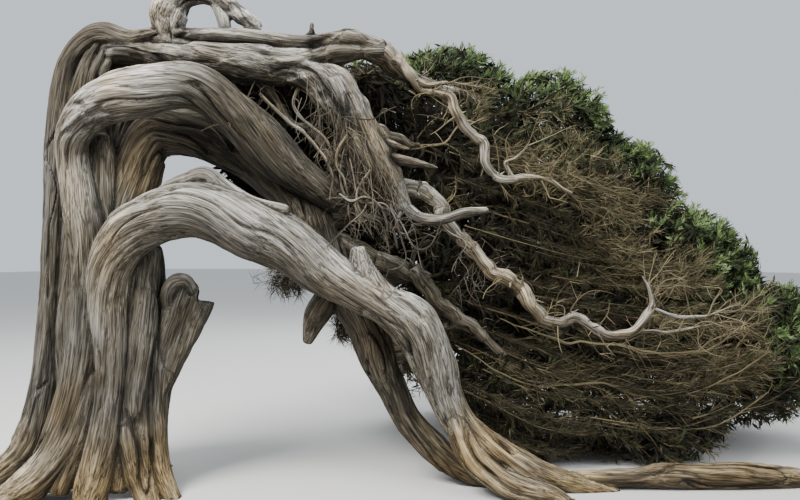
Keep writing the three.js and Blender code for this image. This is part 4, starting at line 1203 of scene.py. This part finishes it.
# Vines and roots that hang between the boughs
# Curly strands: where they start, from one place to another in mm, their way and how many
VINE_SOURCES = [
    ([1150, 60, 2970], [1750, 120, 3080], (0.2, 0.1, -1.0), 9),
    ([1620, 0, 2900], [2120, -60, 2250], (-0.1, -0.4, -1.0), 14),
    ([1050, 60, 2720], [1700, 60, 2150], (0.5, 0.1, 0.6), 8),
    ([1850, -120, 2350], [2260, -140, 1950], (0.2, -0.4, -1.0), 12),
    ([2350, 120, 2100], [2900, 120, 1650], (0.1, 0.1, -1.0), 9),
    ([1500, 330, 2900], [2100, 380, 2300], (0.2, 0.0, -1.0), 10),
]
# Curls of dead root-like wood in front of the spur, in mm
CURLS = [
    [[1878, 0, 2480, 14], [1827, -70, 2263, 13], [1863, -120, 2083, 12], [1972, -150, 2011, 11],
     [2152, -160, 2011, 9], [2202, -150, 1867, 5]],
    [[2274, -60, 1989, 18], [2230, -100, 1880, 14], [2290, -120, 1800, 10], [2370, -130, 1840, 5]],
    [[1550, 60, 2960, 16], [1480, 30, 2760, 15], [1600, 0, 2600, 14], [1730, -30, 2480, 12],
     [1800, -40, 2250, 8]],
    [[2050, -140, 2250, 13], [1960, -170, 2080, 12], [2010, -190, 1930, 10], [2130, -190, 1870, 7],
     [2150, -170, 1740, 4]],
    [[1225, 60, 2842, 15], [1368, 40, 2700, 17], [1510, 0, 2578, 16], [1617, -40, 2471, 14],
     [1725, -90, 2343, 14], [1775, -120, 2200, 12], [1760, -120, 2043, 8]],
    [[1882, -90, 2507, 12], [1817, -130, 2400, 13], [1803, -150, 2293, 12], [1867, -170, 2185, 12],
     [1903, -180, 2043, 9]],
    [[1832, -170, 2078, 10], [1903, -190, 2030, 12], [2010, -200, 2057, 12], [2117, -200, 2007, 11],
     [2174, -190, 1864, 9], [2153, -170, 1757, 5]],
    [[1939, -190, 2007, 10], [1989, -200, 1914, 9], [2060, -190, 1793, 5]],
]
# Fibres that fray off the underside of the spur bough, along this line in mm
FRAY = ([1660, -60, 2900], [2220, -110, 2120])
FRAY_COUNT = 170
FRAY_TOP = 2.95
# How far above its root a hanging strand may rise
STRAND_RISE = 0.06


def place_between(low, high, rng, scatter):
    share = rng.random()
    return (np.array(low) * (1 - share) + np.array(high) * share) * MM + rng.normal(size=3) * scatter


def curly_vines(rng):
    vines = lines_of(TANGLES.values(), 0.025, rng, kink=0.8, lump=0.3)
    for low, high, way, count in VINE_SOURCES:
        for _ in range(count):
            start = place_between(low, high, rng, 0.03)
            line = wander(rng, start, np.array(way) + 0.45 * rng.normal(size=3), rng.uniform(0.35, 0.95),
                          0.0035 + 0.008 * rng.random() ** 2, 7, (0.2, 0, -1.6), 0.035, 0.35)
            if line[0][:, 2].max() < start[2] + STRAND_RISE and in_box(line):
                vines.append(line)
    return vines


def roots_hanging_from(lines, rng):
    hanging = []
    for places, _ in lines:
        for _ in range(int(len(places) * 0.6)):
            start = places[rng.integers(1, len(places) - 1)]
            hanging.append(wander(rng, start, rng.normal(size=3) + [0.2, -0.1, -0.7], rng.uniform(0.06, 0.28),
                                  0.003, 11, (0, 0, -1.5), 0.03))
    for _ in range(FRAY_COUNT):
        start = place_between(*FRAY, rng, [0.05, 0.03, 0.05])
        hanging.append(wander(rng, start, np.array([0.1, -0.12, -1.0]) + 0.3 * rng.normal(size=3),
                              rng.uniform(0.15, 0.5), rng.uniform(0.0025, 0.004), 4, (0.3, 0, -1.2), 0.04))
    return [line for line in hanging if line[0][:, 2].max() < min(line[0][0, 2] + STRAND_RISE, FRAY_TOP)]


curls = lines_of(CURLS, 0.02, strays, kink=0.9)
vines = curly_vines(strays)
hanging = roots_hanging_from(vines + curls, strays)
dressed_tubes("vines", vines, 8, 1.0, 0.5, list(TANGLES))
dressed_tubes("curls", curls, 12, 0.9, 0.85)


# The shape of the crown
MASS_NAMES = list(MASSES)
MASS_BOUGH, MASS_AT, MASS_HALF, LEAFY = (list(column) for column in zip(*MASSES.values()))
MASS_AT, MASS_HALF = np.array(MASS_AT, float) * MM, np.array(MASS_HALF, float) * MM
# A mass is lumpy: its surface lies at the low share of its half sizes and rises in lumps of this size
LUMP_LOW, LUMP_RISE, LUMP_SIZE = 0.85, 0.13, 0.36
# The crest of the crown is looked for at this depth or behind it
CREST_DEPTH = 1.3
GROUND_GAP = 0.03
# Tufts of green on the near side, also painted paler as painted light: middle, reach and how strong
GREEN_TUFTS = [((4.5, 0.5, 1.84), (0.36, 0.5, 0.27), 1.5), ((4.97, 0.5, 1.48), (0.2, 0.5, 0.16), 1.2),
               ((5.4, 0.6, 0.9), (0.32, 0.5, 0.22), 1.3)]


def depths(points):
    """How far out each point lies in every mass, as a share of its half sizes."""
    return np.sqrt((((points[:, None] - MASS_AT[None]) / MASS_HALF[None]) ** 2).sum(2))


def scatter(index, count, rng, inner):
    """Random places in a mass's own cell, more of them near its edge."""
    kept = []
    total = 0
    while total < count:
        p = rng.uniform(-1, 1, (count * 3, 3)) * MASS_HALF[index] + MASS_AT[index]
        others = depths(p)
        own = others[:, index].copy()
        others[:, index] = FAR
        ok = (own < 1) & (own < others.min(1)) & (p[:, 2] > GROUND_GAP)
        ok &= own < LUMP_LOW + LUMP_RISE * ridges(p / LUMP_SIZE, 61)
        ok &= rng.random(len(p)) < inner + (1 - inner) * smoothstep(0.35, 0.85, own)
        kept.append(p[ok])
        total += int(ok.sum())
    return np.vstack(kept)[:count]


def crown_edge(points, axis, side):
    """How far the crown reaches along an axis over each point, on the side of +1 or -1."""
    edge = np.full(len(points), -FAR)
    rest = [i for i in range(3) if i != axis]
    for at, half in zip(MASS_AT, MASS_HALF):
        flat = (((points[:, rest] - at[rest]) / half[rest]) ** 2).sum(1)
        reach = side * at[axis] + half[axis] * np.sqrt(np.maximum(1 - flat, 0))
        edge = np.maximum(edge, np.where(flat < 1, reach, -FAR))
    return side * edge


def crown_top(points, depth):
    """The height of the crown's upper surface over each point, taken as if it lay at that depth."""
    return crown_edge(np.column_stack([points[:, 0], depth]), 2, 1)


def flow(points):
    """The way that twigs lie on the near side: down to leeward at first, then up towards the far end."""
    slope = -0.4 + 0.75 * smoothstep(2.9, 5.6, points[:, 0]) + 0.5 * (noise(points / 0.5, 92) - 0.5)
    return unit(np.column_stack([np.ones(len(points)), 0.1 * (noise(points / 0.4, 93) - 0.5), slope]))


# Growth of twigs
def grow(stem, targets, back=0.9):
    """Joins every target to the limb that reaches it with the least wood, growing to leeward."""
    points = np.vstack([stem, targets])
    n0, n = len(stem), len(points)
    parent = np.full(n, -1)
    path = np.zeros(n)
    way = np.tile(LEEWARD, (n, 1))
    for i in range(1, n0):
        parent[i] = i - 1
        path[i] = path[i - 1] + np.linalg.norm(points[i] - points[i - 1])
    best = np.full(n, np.inf)
    source = np.zeros(n, int)
    waiting = np.arange(n0, n)

    def offer(j):
        gap = points[waiting] - points[j]
        length = np.maximum(np.linalg.norm(gap, axis=1), 1e-6)
        cost = length * (1 + back * (1 - gap @ way[j] / length)) + 0.3 * path[j]
        better = cost < best[waiting]
        best[waiting[better]] = cost[better]
        source[waiting[better]] = j

    for i in range(n0):
        if i:
            way[i] = unit(0.5 * LEEWARD + unit(points[i] - points[i - 1]))
        offer(i)
    while len(waiting):
        pick = best[waiting].argmin()
        j = waiting[pick]
        waiting = np.delete(waiting, pick)
        i = source[j]
        parent[j] = i
        path[j] = path[i] + np.linalg.norm(points[j] - points[i])
        way[j] = unit(0.45 * LEEWARD + unit(points[j] - points[i]) + 0.35 * unit(points[j] - points[0]))
        if len(waiting):
            offer(j)
    return points, parent


def tips_beyond(parent):
    """How many tips each node carries."""
    n = len(parent)
    tips = np.zeros(n)
    waiting = np.bincount(parent[parent >= 0], minlength=n)
    ready = [i for i in range(n) if waiting[i] == 0]
    tips[ready] = 1
    while ready:
        i = ready.pop()
        p = parent[i]
        if p >= 0:
            tips[p] += tips[i]
            waiting[p] -= 1
            if waiting[p] == 0:
                ready.append(p)
    return tips


def chains_of(parent, tips):
    """Runs of nodes from a fork to a tip: at each fork the thickest child goes on."""
    kids = [[] for _ in parent]
    for i, p in enumerate(parent):
        if p >= 0:
            kids[p].append(i)
    chains, starts = [], [(None, 0)]
    while starts:
        before, at = starts.pop()
        run = [at] if before is None else [before, at]
        while kids[at]:
            heir = max(kids[at], key=lambda k: tips[k])
            starts += [(at, k) for k in kids[at] if k != heir]
            at = heir
            run.append(at)
        chains.append(run)
    return chains


def curve_through(places, radii, steps=2):
    """A smooth line through places, with `steps` steps between each two."""
    padded = np.vstack([2 * places[0] - places[1], places, 2 * places[-1] - places[-2]])
    w = np.arange(steps) / steps
    ww = w[:, None]
    out, thick = [], []
    for i in range(len(places) - 1):
        p0, p1, p2, p3 = padded[i:i + 4]
        out.append(0.5 * (2 * p1 + (p2 - p0) * ww + (2 * p0 - 5 * p1 + 4 * p2 - p3) * ww**2
                          + (3 * p1 - p0 - 3 * p2 + p3) * ww**3))
        thick.append(radii[i] * (1 - w) + radii[i + 1] * w)
    return np.vstack(out + [places[-1:]]), np.concatenate(thick + [radii[-1:]])


def twig_curves(nodes, radii, parent, tips, side_limit=np.inf):
    """A curve along each chain of nodes. Side twigs are held to `side_limit` times their own width."""
    made = []
    for run in chains_of(parent, tips):
        if len(run) < 2:
            continue
        places, thick = curve_through(nodes[run], radii[run])
        if run[0] != 0:
            thick = np.minimum(thick, radii[run[1]] * side_limit)
        made.append((places, thick))
    return made


# What grows on the twigs
TO_LEEWARD = np.array([0.2, 0, 0])
TARGETS = 400
STEM_NODES = 5
TWIG_RADIUS = 0.0023
THICKET_RADIUS = 0.0022
TOP_BAND = 0.28
crown = np.random.default_rng(23)
twig_lines = []
# For each kind of growth: where it is rooted, which way it points and how far out in the crown it lies or how
# lit it is, which sets its painted light and shade
sown = {"green": [], "dry": [], "dark": [], "fine": []}


def tufted(points):
    return glow(points, GREEN_TUFTS)


def sow(kind, twigs, count, spread, lean, share_out):
    """Roots `count` of a kind on each twig, given the twigs' ends, starts, ways and ways out of the mass."""
    end, start, way, outward = twigs
    if not len(end) * count:
        return
    if kind in ("fine", "dry"):
        near_side = smoothstep(1.3, 0.7, end[:, 1]) * (0.15 + 0.4 * smoothstep(1.9, 1.2, end[:, 2]))
        way = way + near_side[:, None] * flow(end)
    index = np.repeat(np.arange(len(end)), count)
    share = crown.random(len(index))[:, None]
    root = end[index] * share + start[index] * (1 - share)
    ways = way[index] + spread * crown.normal(size=(len(index), 3)) + 0.3 * outward[index] + lean
    sown[kind].append((root, ways, np.broadcast_to(share_out, len(end))[index]))


def is_green(nodes, index, own, below, outward):
    """Where twigs are green: near the crown's top, at its far end, on top of a mass and in tufts."""
    clump = 0.5 * noise(nodes / 0.34, 71) + 0.5 * ridges(nodes / LUMP_SIZE, 61)
    band = 0.48 + 0.16 * smoothstep(3.4, 4.4, nodes[:, 0])
    score = 1.5 - below / band + 1.5 * (clump - 0.5) + 0.25 * outward[:, 1] + 0.3 * outward[:, 0]
    score += 1.3 * smoothstep(4.75, 5.45, nodes[:, 0]) * smoothstep(0.25, 0.6, nodes[:, 2])
    score += tufted(nodes)
    under_top = MASS_AT[index][2] + MASS_HALF[index][2] - nodes[:, 2]
    on_top = 1.0 - under_top / TOP_BAND + 1.8 * (clump - 0.5) - 0.4 * (own < 0.8)
    score = np.maximum(score, on_top) * (0.55 + 0.45 * LEAFY[index])
    return (score > 0.32) & (own > 0.5) & (LEAFY[index] > 0.3)


def fill_mass(index, name):
    """Grows the twigs of one mass from its bough's tip, and roots on them what they bear."""
    near = name.startswith(("foliage_front", "dead_twigs"))
    tip = np.array(CROWN_BOUGHS[MASS_BOUGH[index]][-1], float) * MM
    stem = np.linspace(tip[:3], MASS_AT[index], STEM_NODES)
    volume = np.prod(MASS_HALF[index]) / 0.4
    nodes, parent = grow(stem, scatter(index, int(TARGETS * volume * (1.2 if near else 1.15)), crown, 0.2))
    tips = tips_beyond(parent)
    has = parent >= 0
    for _ in range(2):
        kids = np.bincount(parent[has], minlength=len(nodes))
        pull = gathered(parent[has], nodes[has], len(nodes))
        middle = (pull / np.maximum(kids, 1)[:, None] + nodes[np.maximum(parent, 0)]) / 2
        soft = (kids > 0) & has
        soft[:STEM_NODES] = False
        nodes[soft] += 0.45 * (middle[soft] - nodes[soft])
    radii = np.minimum(TWIG_RADIUS * tips**0.46, tip[3] * 0.7)
    twig_lines.extend(twig_curves(nodes, radii, parent, tips, 1.15))
    before = nodes[np.maximum(parent, 0)]
    way = np.where(has[:, None], unit(nodes - before), 0)
    outward = unit((nodes - MASS_AT[index]) / MASS_HALF[index])
    own = depths(nodes)[:, index]
    below = crown_top(nodes, np.maximum(nodes[:, 1], CREST_DEPTH)) - nodes[:, 2]
    green = is_green(nodes, index, own, below, outward)

    def twigs(pick, inward=0.0):
        """The picked twigs, drawn in by a share of their way out."""
        shift = inward * outward[pick]
        return nodes[pick] - shift, before[pick] - shift, way[pick], outward[pick]

    outer = has & (tips <= 4)
    leaves, bare = np.nonzero(outer & green)[0], np.nonzero(outer & ~green)[0]
    # Painted light on the green sprays: paler at the edge and in tufts, darker further below the crown's top.
    in_tuft = np.minimum(tufted(nodes[leaves]), 1)
    lit = own[leaves] + 0.14 - 0.3 * smoothstep(0.08, 0.45, below[leaves]) * (1 - in_tuft) + 0.5 * in_tuft
    sow("green", twigs(leaves), 8, 0.4, [0.2, 0, 0.6], lit)
    # Dark sprays just behind the green ones are painted shade.
    sow("dark", twigs(leaves, 0.05), 2, 0.6, [0.2, 0, 0.3], 0.93)
    sow("dry", twigs(bare), 2 if near else 1, 0.5, TO_LEEWARD, own[bare])
    # Dark sprays deep in the mass are painted shade.
    deep = np.nonzero(has & (own < 0.88))[0]
    sow("dark", twigs(deep), 1 if LEAFY[index] > 0.3 else 2, 0.8, TO_LEEWARD, np.minimum(own[deep], 0.85))
    fine = np.nonzero(has & (tips <= 12) & ~green)[0]
    sow("fine", twigs(fine), 8 if near else 4, 0.55, TO_LEEWARD, own[fine])


# Small thickets of dead twigs behind the boughs: root, middle, half sizes, count of twigs and density
THICKETS = [
    ((1.45, 0.2, 2.15), (1.02, 0.62, 2.22), (0.32, 0.3, 0.24), 120, 1),
    ((1.2, 0.12, 2.98), (1.38, 0.52, 2.6), (0.44, 0.28, 0.5), 330, 2),
    ((0.9, 0.12, 3.05), (0.98, 0.45, 2.97), (0.24, 0.2, 0.16), 60, 2),
    ((1.9, 0.12, 2.3), (2.02, 0.5, 1.95), (0.32, 0.3, 0.36), 150, 1),
    ((1.5, 0.2, 1.95), (1.38, 0.4, 1.5), (0.28, 0.16, 0.26), 170, 0),
    ((1.85, 0.2, 1.4), (1.76, 0.42, 1.1), (0.24, 0.16, 0.24), 150, 0),
    ((2.1, 0.2, 0.9), (2.35, 0.4, 0.85), (0.36, 0.25, 0.42), 120, 0),
    ((1.8, 0.14, 3.12), (1.98, 0.6, 2.98), (0.24, 0.25, 0.22), 90, 2),
]


def fill_thicket(root, middle, half, count, dense):
    targets = middle + unit(crown.normal(size=(3 * count, 3))) * crown.random((3 * count, 1)) ** 0.5 * half
    targets = targets[np.argsort(noise(targets / 0.13, 63), kind="stable")[-count:]]
    nodes, parent = grow(np.linspace(root, middle, 3), targets, back=0.2)
    tips = tips_beyond(parent)
    twig_lines.extend(twig_curves(nodes, THICKET_RADIUS * tips**0.42, parent, tips))
    has = np.nonzero(parent >= 0)[0]
    before = nodes[parent[has]]
    way = unit(nodes[has] - before)
    twigs = nodes[has], before, way, np.zeros_like(way)
    # Dark sprays among the thicket's twigs are painted shade.
    for kind, number, share_out in (("fine", 5 if dense else 8, 0.6), ("dry", min(dense, 1), 0.5),
                                    ("dark", dense, 0.4)):
        sow(kind, twigs, number, 0.8, [0, 0, -0.2], share_out)


# Long dead twigs that sag to leeward over the near side, clear of the band of green on top and at the far end
SWEEP_COUNT = 190
SWEEP_STEPS = 26
SHORTEST_SWEEP = 8
GREEN_BAND = 0.6
GREEN_END = 5.15


def sweep_places():
    """A line that follows the flow of the twigs, laid on the crown's near side, as far as it stays on it."""
    start = np.array([crown.uniform(2.5, 5.3), 0, crown.uniform(0.35, 2.5)])
    depth = crown.uniform(0.0, 0.16)
    length = crown.uniform(0.7, 2.0)
    places = [start]
    for _ in range(SWEEP_STEPS - 1):
        way = flow(places[-1][None])[0]
        places.append(places[-1] + way * length / SWEEP_STEPS + crown.normal(size=3) * 0.003)
    places = np.array(places)
    front = crown_edge(places, 1, -1)
    past = front > FAR - 1
    stop = int(np.argmax(past)) if past.any() else SWEEP_STEPS
    if stop <= SHORTEST_SWEEP:
        return places[:0]
    places = places[:stop]
    places[:, 1] = front[:stop] + depth
    places = eased(places, 10)
    crest = crown_top(places, np.full(stop, CREST_DEPTH))
    inside = (depths(places).min(1) < 0.99) & (places[:, 2] > GROUND_GAP)
    inside &= places[:, 2] < crest - GREEN_BAND
    inside &= (places[:, 0] < GREEN_END) & (tufted(places) < 0.5)
    return places if inside.all() else places[:int(np.argmin(inside))]


def sweeping_twigs():
    lines = []
    for _ in range(SWEEP_COUNT):
        places = sweep_places()
        stop = len(places)
        if stop < SHORTEST_SWEEP:
            continue
        lines.append((places, (0.0025 + 0.008 * crown.random() ** 4) * np.linspace(1, 0.3, stop)))
        way = unit(np.gradient(places, axis=0))
        twigs = places[2:], places[1:-1], way[2:], np.zeros((stop - 2, 3))
        for kind, number, spread in (("fine", 4, 0.7), ("dry", 1, 0.6)):
            sow(kind, twigs, number, spread, TO_LEEWARD, 0.68)
        for _ in range(stop // 2):
            i = crown.integers(1, stop - 1)
            own_way = way[i] + 0.5 * crown.normal(size=3)
            twig = wander(crown, places[i], own_way, crown.uniform(0.15, 0.45), 0.0025, 5, 0.6 * way[i], 0.06)
            if depths(twig[0]).min(1).max() > 1.01:
                continue
            lines.append(twig)
            own = unit(np.gradient(twig[0], axis=0))[1:]
            sow("fine", (twig[0][1:], twig[0][:-1], own, np.zeros_like(own)), 2, 0.4, TO_LEEWARD, 0.8)
    return lines


# Long arching dead twigs in front of the lower crown: [x, z, radius] in mm
ARCHING = [
    [[3020, 1170, 5], [3480, 1000, 10], [3940, 958, 11], [4250, 889, 10], [4550, 912, 9], [4820, 1080, 7],
     [5010, 1233, 3]],
    [[2680, 966, 4], [3250, 660, 9], [3790, 675, 10], [4090, 583, 10], [4320, 545, 9], [4860, 775, 7],
     [5090, 927, 3]],
    [[3900, 973, 5], [4220, 897, 9], [4476, 912, 9], [4630, 989, 7], [5000, 1140, 3]],
    [[3700, 420, 4], [4050, 360, 8], [4500, 330, 8], [4800, 420, 6], [5050, 600, 3]],
]
ARCHING_DEPTH = 250


def arching_twigs(rng):
    stops_list = [[[x, ARCHING_DEPTH, z, r] for x, z, r in stops] for stops in ARCHING]
    lines = lines_of(stops_list, 0.03, rng, kink=1.6, lump=0.25)
    for places, _ in list(lines):
        for _ in range(len(places) // 3):
            i = rng.integers(2, len(places) - 1)
            way = unit(places[i] - places[i - 1])
            own_way = way + 0.5 * rng.normal(size=3)
            lines.append(wander(rng, places[i], own_way, rng.uniform(0.12, 0.4), 0.004, 5,
                                0.6 * way + [0, 0, 0.3]))
    return lines


for index, name in enumerate(MASS_NAMES):
    fill_mass(index, name)
for thicket in THICKETS:
    fill_thicket(*thicket)
sweep_lines = sweeping_twigs()
arching_lines = arching_twigs(np.random.default_rng(77))

# The pieces of the crown
PIECE_TRIANGLES = 190000
# Kind of spray: count of templates, blades, blade length and width as shares of the size, spread, sizes, the
# farthest out that it may reach, and its colours
SPRAYS = {
    "green": (8, 6, 0.72, 0.115, 0.42, (0.054, 0.09), 1.02, green_colours),
    "dry": (8, 9, 0.85, 0.036, 0.85, (0.07, 0.125), 1.02, brown_colours),
    # Dark sprays stand for the shade inside the crown: painted shade.
    "dark": (4, 6, 0.9, 0.15, 0.8, (0.13, 0.18), 0.95, shade_colours),
}
# Parts of the crown that are paler or darker than the rest: middle, reach and how much
PATCHES = [((4.6, 0.4, 1.4), 0.5, 0.5), ((2.95, 0.6, 2.0), 0.5, -0.5), ((2.3, 0.5, 2.6), 0.5, -0.4),
           ((3.0, 0.5, 1.1), 0.6, -0.45), ((4.0, 0.5, 0.5), 0.8, -0.4), ((3.6, 0.5, 1.95), 0.45, 0.4)]
# From about this share on, sprays take one paler colour more, as painted light on the tufts
TUFT_SHARE = 1.35
# How much of a spray's size its axis takes up
AXIS_LENGTH = 0.7


def crown_piece(name, points, faces, colours, slots, nodes=(), smooth=False):
    """One piece, or several numbered ones where there are too many triangles."""
    pieces = len(faces) // PIECE_TRIANGLES + 1
    for number, part in enumerate(np.array_split(np.arange(len(faces)), pieces)):
        p, f, _ = compacted(points, faces[part])
        label = name if pieces == 1 else f"{name}_{number + 1}"
        put_on_tree(new_object(label, p, f, colours, slots[part], smooth), nodes)


def twig_piece(name, lines, colours, nodes=()):
    parts = [twig_tube(places, thick, 5 if thick[0] > 0.012 else 3) for places, thick in lines]
    p, f = merge(parts)
    own = crown.integers(0, len(colours), len(parts))
    slots = np.repeat(own, [len(faces) for _, faces in parts])
    crown_piece(name, np.maximum(p, [-FAR, -FAR, 0.001]), f, colours, slots, nodes, True)


def kites(roots, directions, lengths, widths, bend=0.02):
    """Narrow bent blades of two faces."""
    n = len(roots)
    d = unit(directions)
    u = unit(np.cross(d, crown.normal(size=(n, 3))))
    sag = np.cross(d, u) * (lengths * bend * crown.normal(size=n))[:, None]
    middle = roots + d * (lengths * 0.45)[:, None] + sag
    half = u * (widths * 0.5)[:, None]
    points = np.stack([roots, middle + half, roots + d * lengths[:, None], middle - half], 1)
    faces = np.array([[0, 1, 2], [0, 2, 3]])[None] + (np.arange(n) * 4)[:, None, None]
    return points.reshape(-1, 3), faces.reshape(-1, 3)


def spray_templates(count, blades, length, width, spread):
    """Sprays of narrow blades along a short axis that points up +X."""
    made = []
    along = np.linspace(0, 1, blades)
    for _ in range(count):
        roots = np.column_stack([np.linspace(0, AXIS_LENGTH, blades), np.zeros((blades, 2))])
        roots = roots + crown.normal(size=(blades, 3)) * 0.04
        ways = np.column_stack([np.ones(blades), crown.normal(size=(blades, 2)) * spread])
        ways[:, 1:] *= (1.15 - 0.5 * along)[:, None]
        lengths = crown.uniform(0.7, 1.15, blades) * length * (1.1 - 0.35 * along)
        made.append(kites(roots, ways, lengths, np.full(blades, width)))
    return made


def place_sprays(templates, roots, directions, sizes):
    """The templates set at many places: points, faces and the number of the spray that each face is in."""
    d = unit(directions)
    u = unit(np.cross(d, crown.normal(size=d.shape)))
    v = np.cross(d, u)
    kind = crown.integers(0, len(templates), len(roots))
    points, faces, owner, start = [], [], [], 0
    for index, (p, f) in enumerate(templates):
        own = np.nonzero(kind == index)[0]
        basis = np.stack([d[own], u[own], v[own]], 1)
        q = np.einsum("pk,nkj->npj", p, basis) * sizes[own][:, None, None] + roots[own][:, None]
        points.append(q.reshape(-1, 3))
        faces.append((f[None] + (np.arange(len(own)) * len(p))[:, None, None]).reshape(-1, 3) + start)
        owner.append(np.repeat(own, len(f)))
        start += len(own) * len(p)
    return np.vstack(points), np.vstack(faces), np.concatenate(owner)


def kept(points, faces, owner, edge):
    """Leaves out the blades that pass the crown's outline or the ground."""
    batches = np.array_split(points, len(points) // 50000 + 1)
    inside = np.concatenate([depths(part).min(1) < edge for part in batches])
    for _, middle, half, _, _ in THICKETS:
        inside |= (((points - middle) / half) ** 2).sum(1) < 1.5
    ok = (inside & (points[:, 2] > 0.004))[faces].all(1)
    return faces[ok], owner[ok]


def by_depth(share, places, count):
    """Colour numbers, dark ones deep inside and pale ones at the edge as painted shade and light, in patches
    and with some chance in them. Places with a share well past 1 take one paler colour more, as painted
    light."""
    value = smoothstep(0.4, 1.0, share) + crown.normal(size=len(share)) * 0.2
    value = value + 1.1 * (noise(places / 0.4, 91) - 0.55) + glow(places, PATCHES)
    extra = share + 0.25 * crown.normal(size=len(share)) > TUFT_SHARE
    return np.clip((value * count).astype(int), 0, count - 1) + extra


def fine_twig_piece(roots, ways, shares):
    n = len(roots)
    p, f = kites(roots, ways, crown.uniform(0.05, 0.15, n), crown.uniform(0.003, 0.005, n))
    f, owner = kept(p, f, np.repeat(np.arange(n), 2), 1.01)
    tones = np.minimum(by_depth(shares, roots, len(twig_colours)), len(twig_colours) - 1)
    crown_piece("fine_twigs", p, f, twig_colours, tones[owner])


def spray_piece(kind, roots, ways, shares):
    count, blades, length, width, spread, sizes, edge, colours = SPRAYS[kind]
    green = kind == "green"
    templates = spray_templates(count, blades, length, width, spread)
    lengths = crown.uniform(*sizes, len(roots)) * (2.15 - 1.55 * shares if kind == "dark" else 1.0)
    p, f, owner = place_sprays(templates, roots, ways, lengths)
    f, owner = kept(p, f, owner, edge)
    tones = np.minimum(by_depth(shares, roots, len(colours) - green), len(colours) - 1)
    crown_piece(kind + "_sprays", p, f, colours, tones[owner],
                leafy_nodes if green else ())


leafy_nodes = [name for name, leafy in zip(MASS_NAMES, LEAFY) if leafy > 0.3]
bare_nodes = [name for name, leafy in zip(MASS_NAMES, LEAFY) if leafy <= 0.3]
twig_piece("crown_twigs", twig_lines, twig_colours, bare_nodes)
twig_piece("sweeping_twigs", sweep_lines, sweep_colours)
twig_piece("arching_twigs", arching_lines, arching_colours)
twig_piece("side_twigs", [line for line in side_twigs if in_box(line)], twig_colours[1:])
twig_piece("hanging_roots", [line for line in hanging if in_box(line)], root_colours)
grown = {kind: [np.concatenate(column) for column in zip(*rows)] for kind, rows in sown.items()}
fine_twig_piece(*grown["fine"])
for kind in SPRAYS:
    spray_piece(kind, *grown[kind])


# Stage, light and camera
FLOOR_COLOUR = (0.60, 0.59, 0.57)
# Just under the ground, so that it stays clear of the faces that are cut there
FLOOR_HEIGHT = -0.002
SKY_COLOUR = (0.86, 0.93, 1.0, 1)
SKY_STRENGTH = 0.9
WARM_WHITE = (1.0, 0.98, 0.95)
COOL_WHITE = (0.95, 0.98, 1.0)
# Where the camera stands, its lens and sensor in mm, and how far up it looks in degrees
EYE = (2.26, -5.1, 1.6)
LENS = 31.5
SENSOR = 36.0
PITCH = 0.98


def add_object(name, data):
    obj = bpy.data.objects.new(name, data)
    bpy.context.scene.collection.objects.link(obj)
    return obj


def add_floor():
    mesh = bpy.data.meshes.new("floor")
    corners = [(-60, -40), (60, -40), (60, 160), (-60, 160)]
    mesh.from_pydata([(x, y, FLOOR_HEIGHT) for x, y in corners], [], [(0, 1, 2, 3)])
    mesh.materials.append(plain("floor_pale", FLOOR_COLOUR, 0.9))
    floor = add_object("floor", mesh)


def add_sky():
    world = bpy.data.worlds.new("sky")
    bpy.context.scene.world = world
    world.use_nodes = True
    background = world.node_tree.nodes["Background"]
    background.inputs["Color"].default_value = SKY_COLOUR
    background.inputs["Strength"].default_value = SKY_STRENGTH


def area_light(name, place, target, size, power, colour):
    data = bpy.data.lights.new(name, "AREA")
    data.size = size
    data.energy = power
    data.color = colour
    lamp = add_object(name, data)
    lamp.location = place
    lamp.rotation_euler = (Vector(target) - Vector(place)).to_track_quat("-Z", "Y").to_euler()


def add_camera():
    data = bpy.data.cameras.new("camera")
    data.lens = LENS
    data.sensor_width = SENSOR
    camera = add_object("camera", data)
    camera.location = EYE
    camera.rotation_euler = (math.radians(90 + PITCH), 0, 0)
    bpy.context.scene.camera = camera


add_floor()
add_sky()
area_light("key", (-3.0, -5.0, 9.0), (1.8, 0, 1.6), 5.0, 2600, WARM_WHITE)
area_light("fill", (9.0, -6.0, 7.0), (3.5, 0, 1.5), 6.0, 650, COOL_WHITE)
area_light("back", (4.0, 9.0, 10.0), (3.0, 1.5, 1.2), 6.0, 1000, COOL_WHITE)
add_camera()
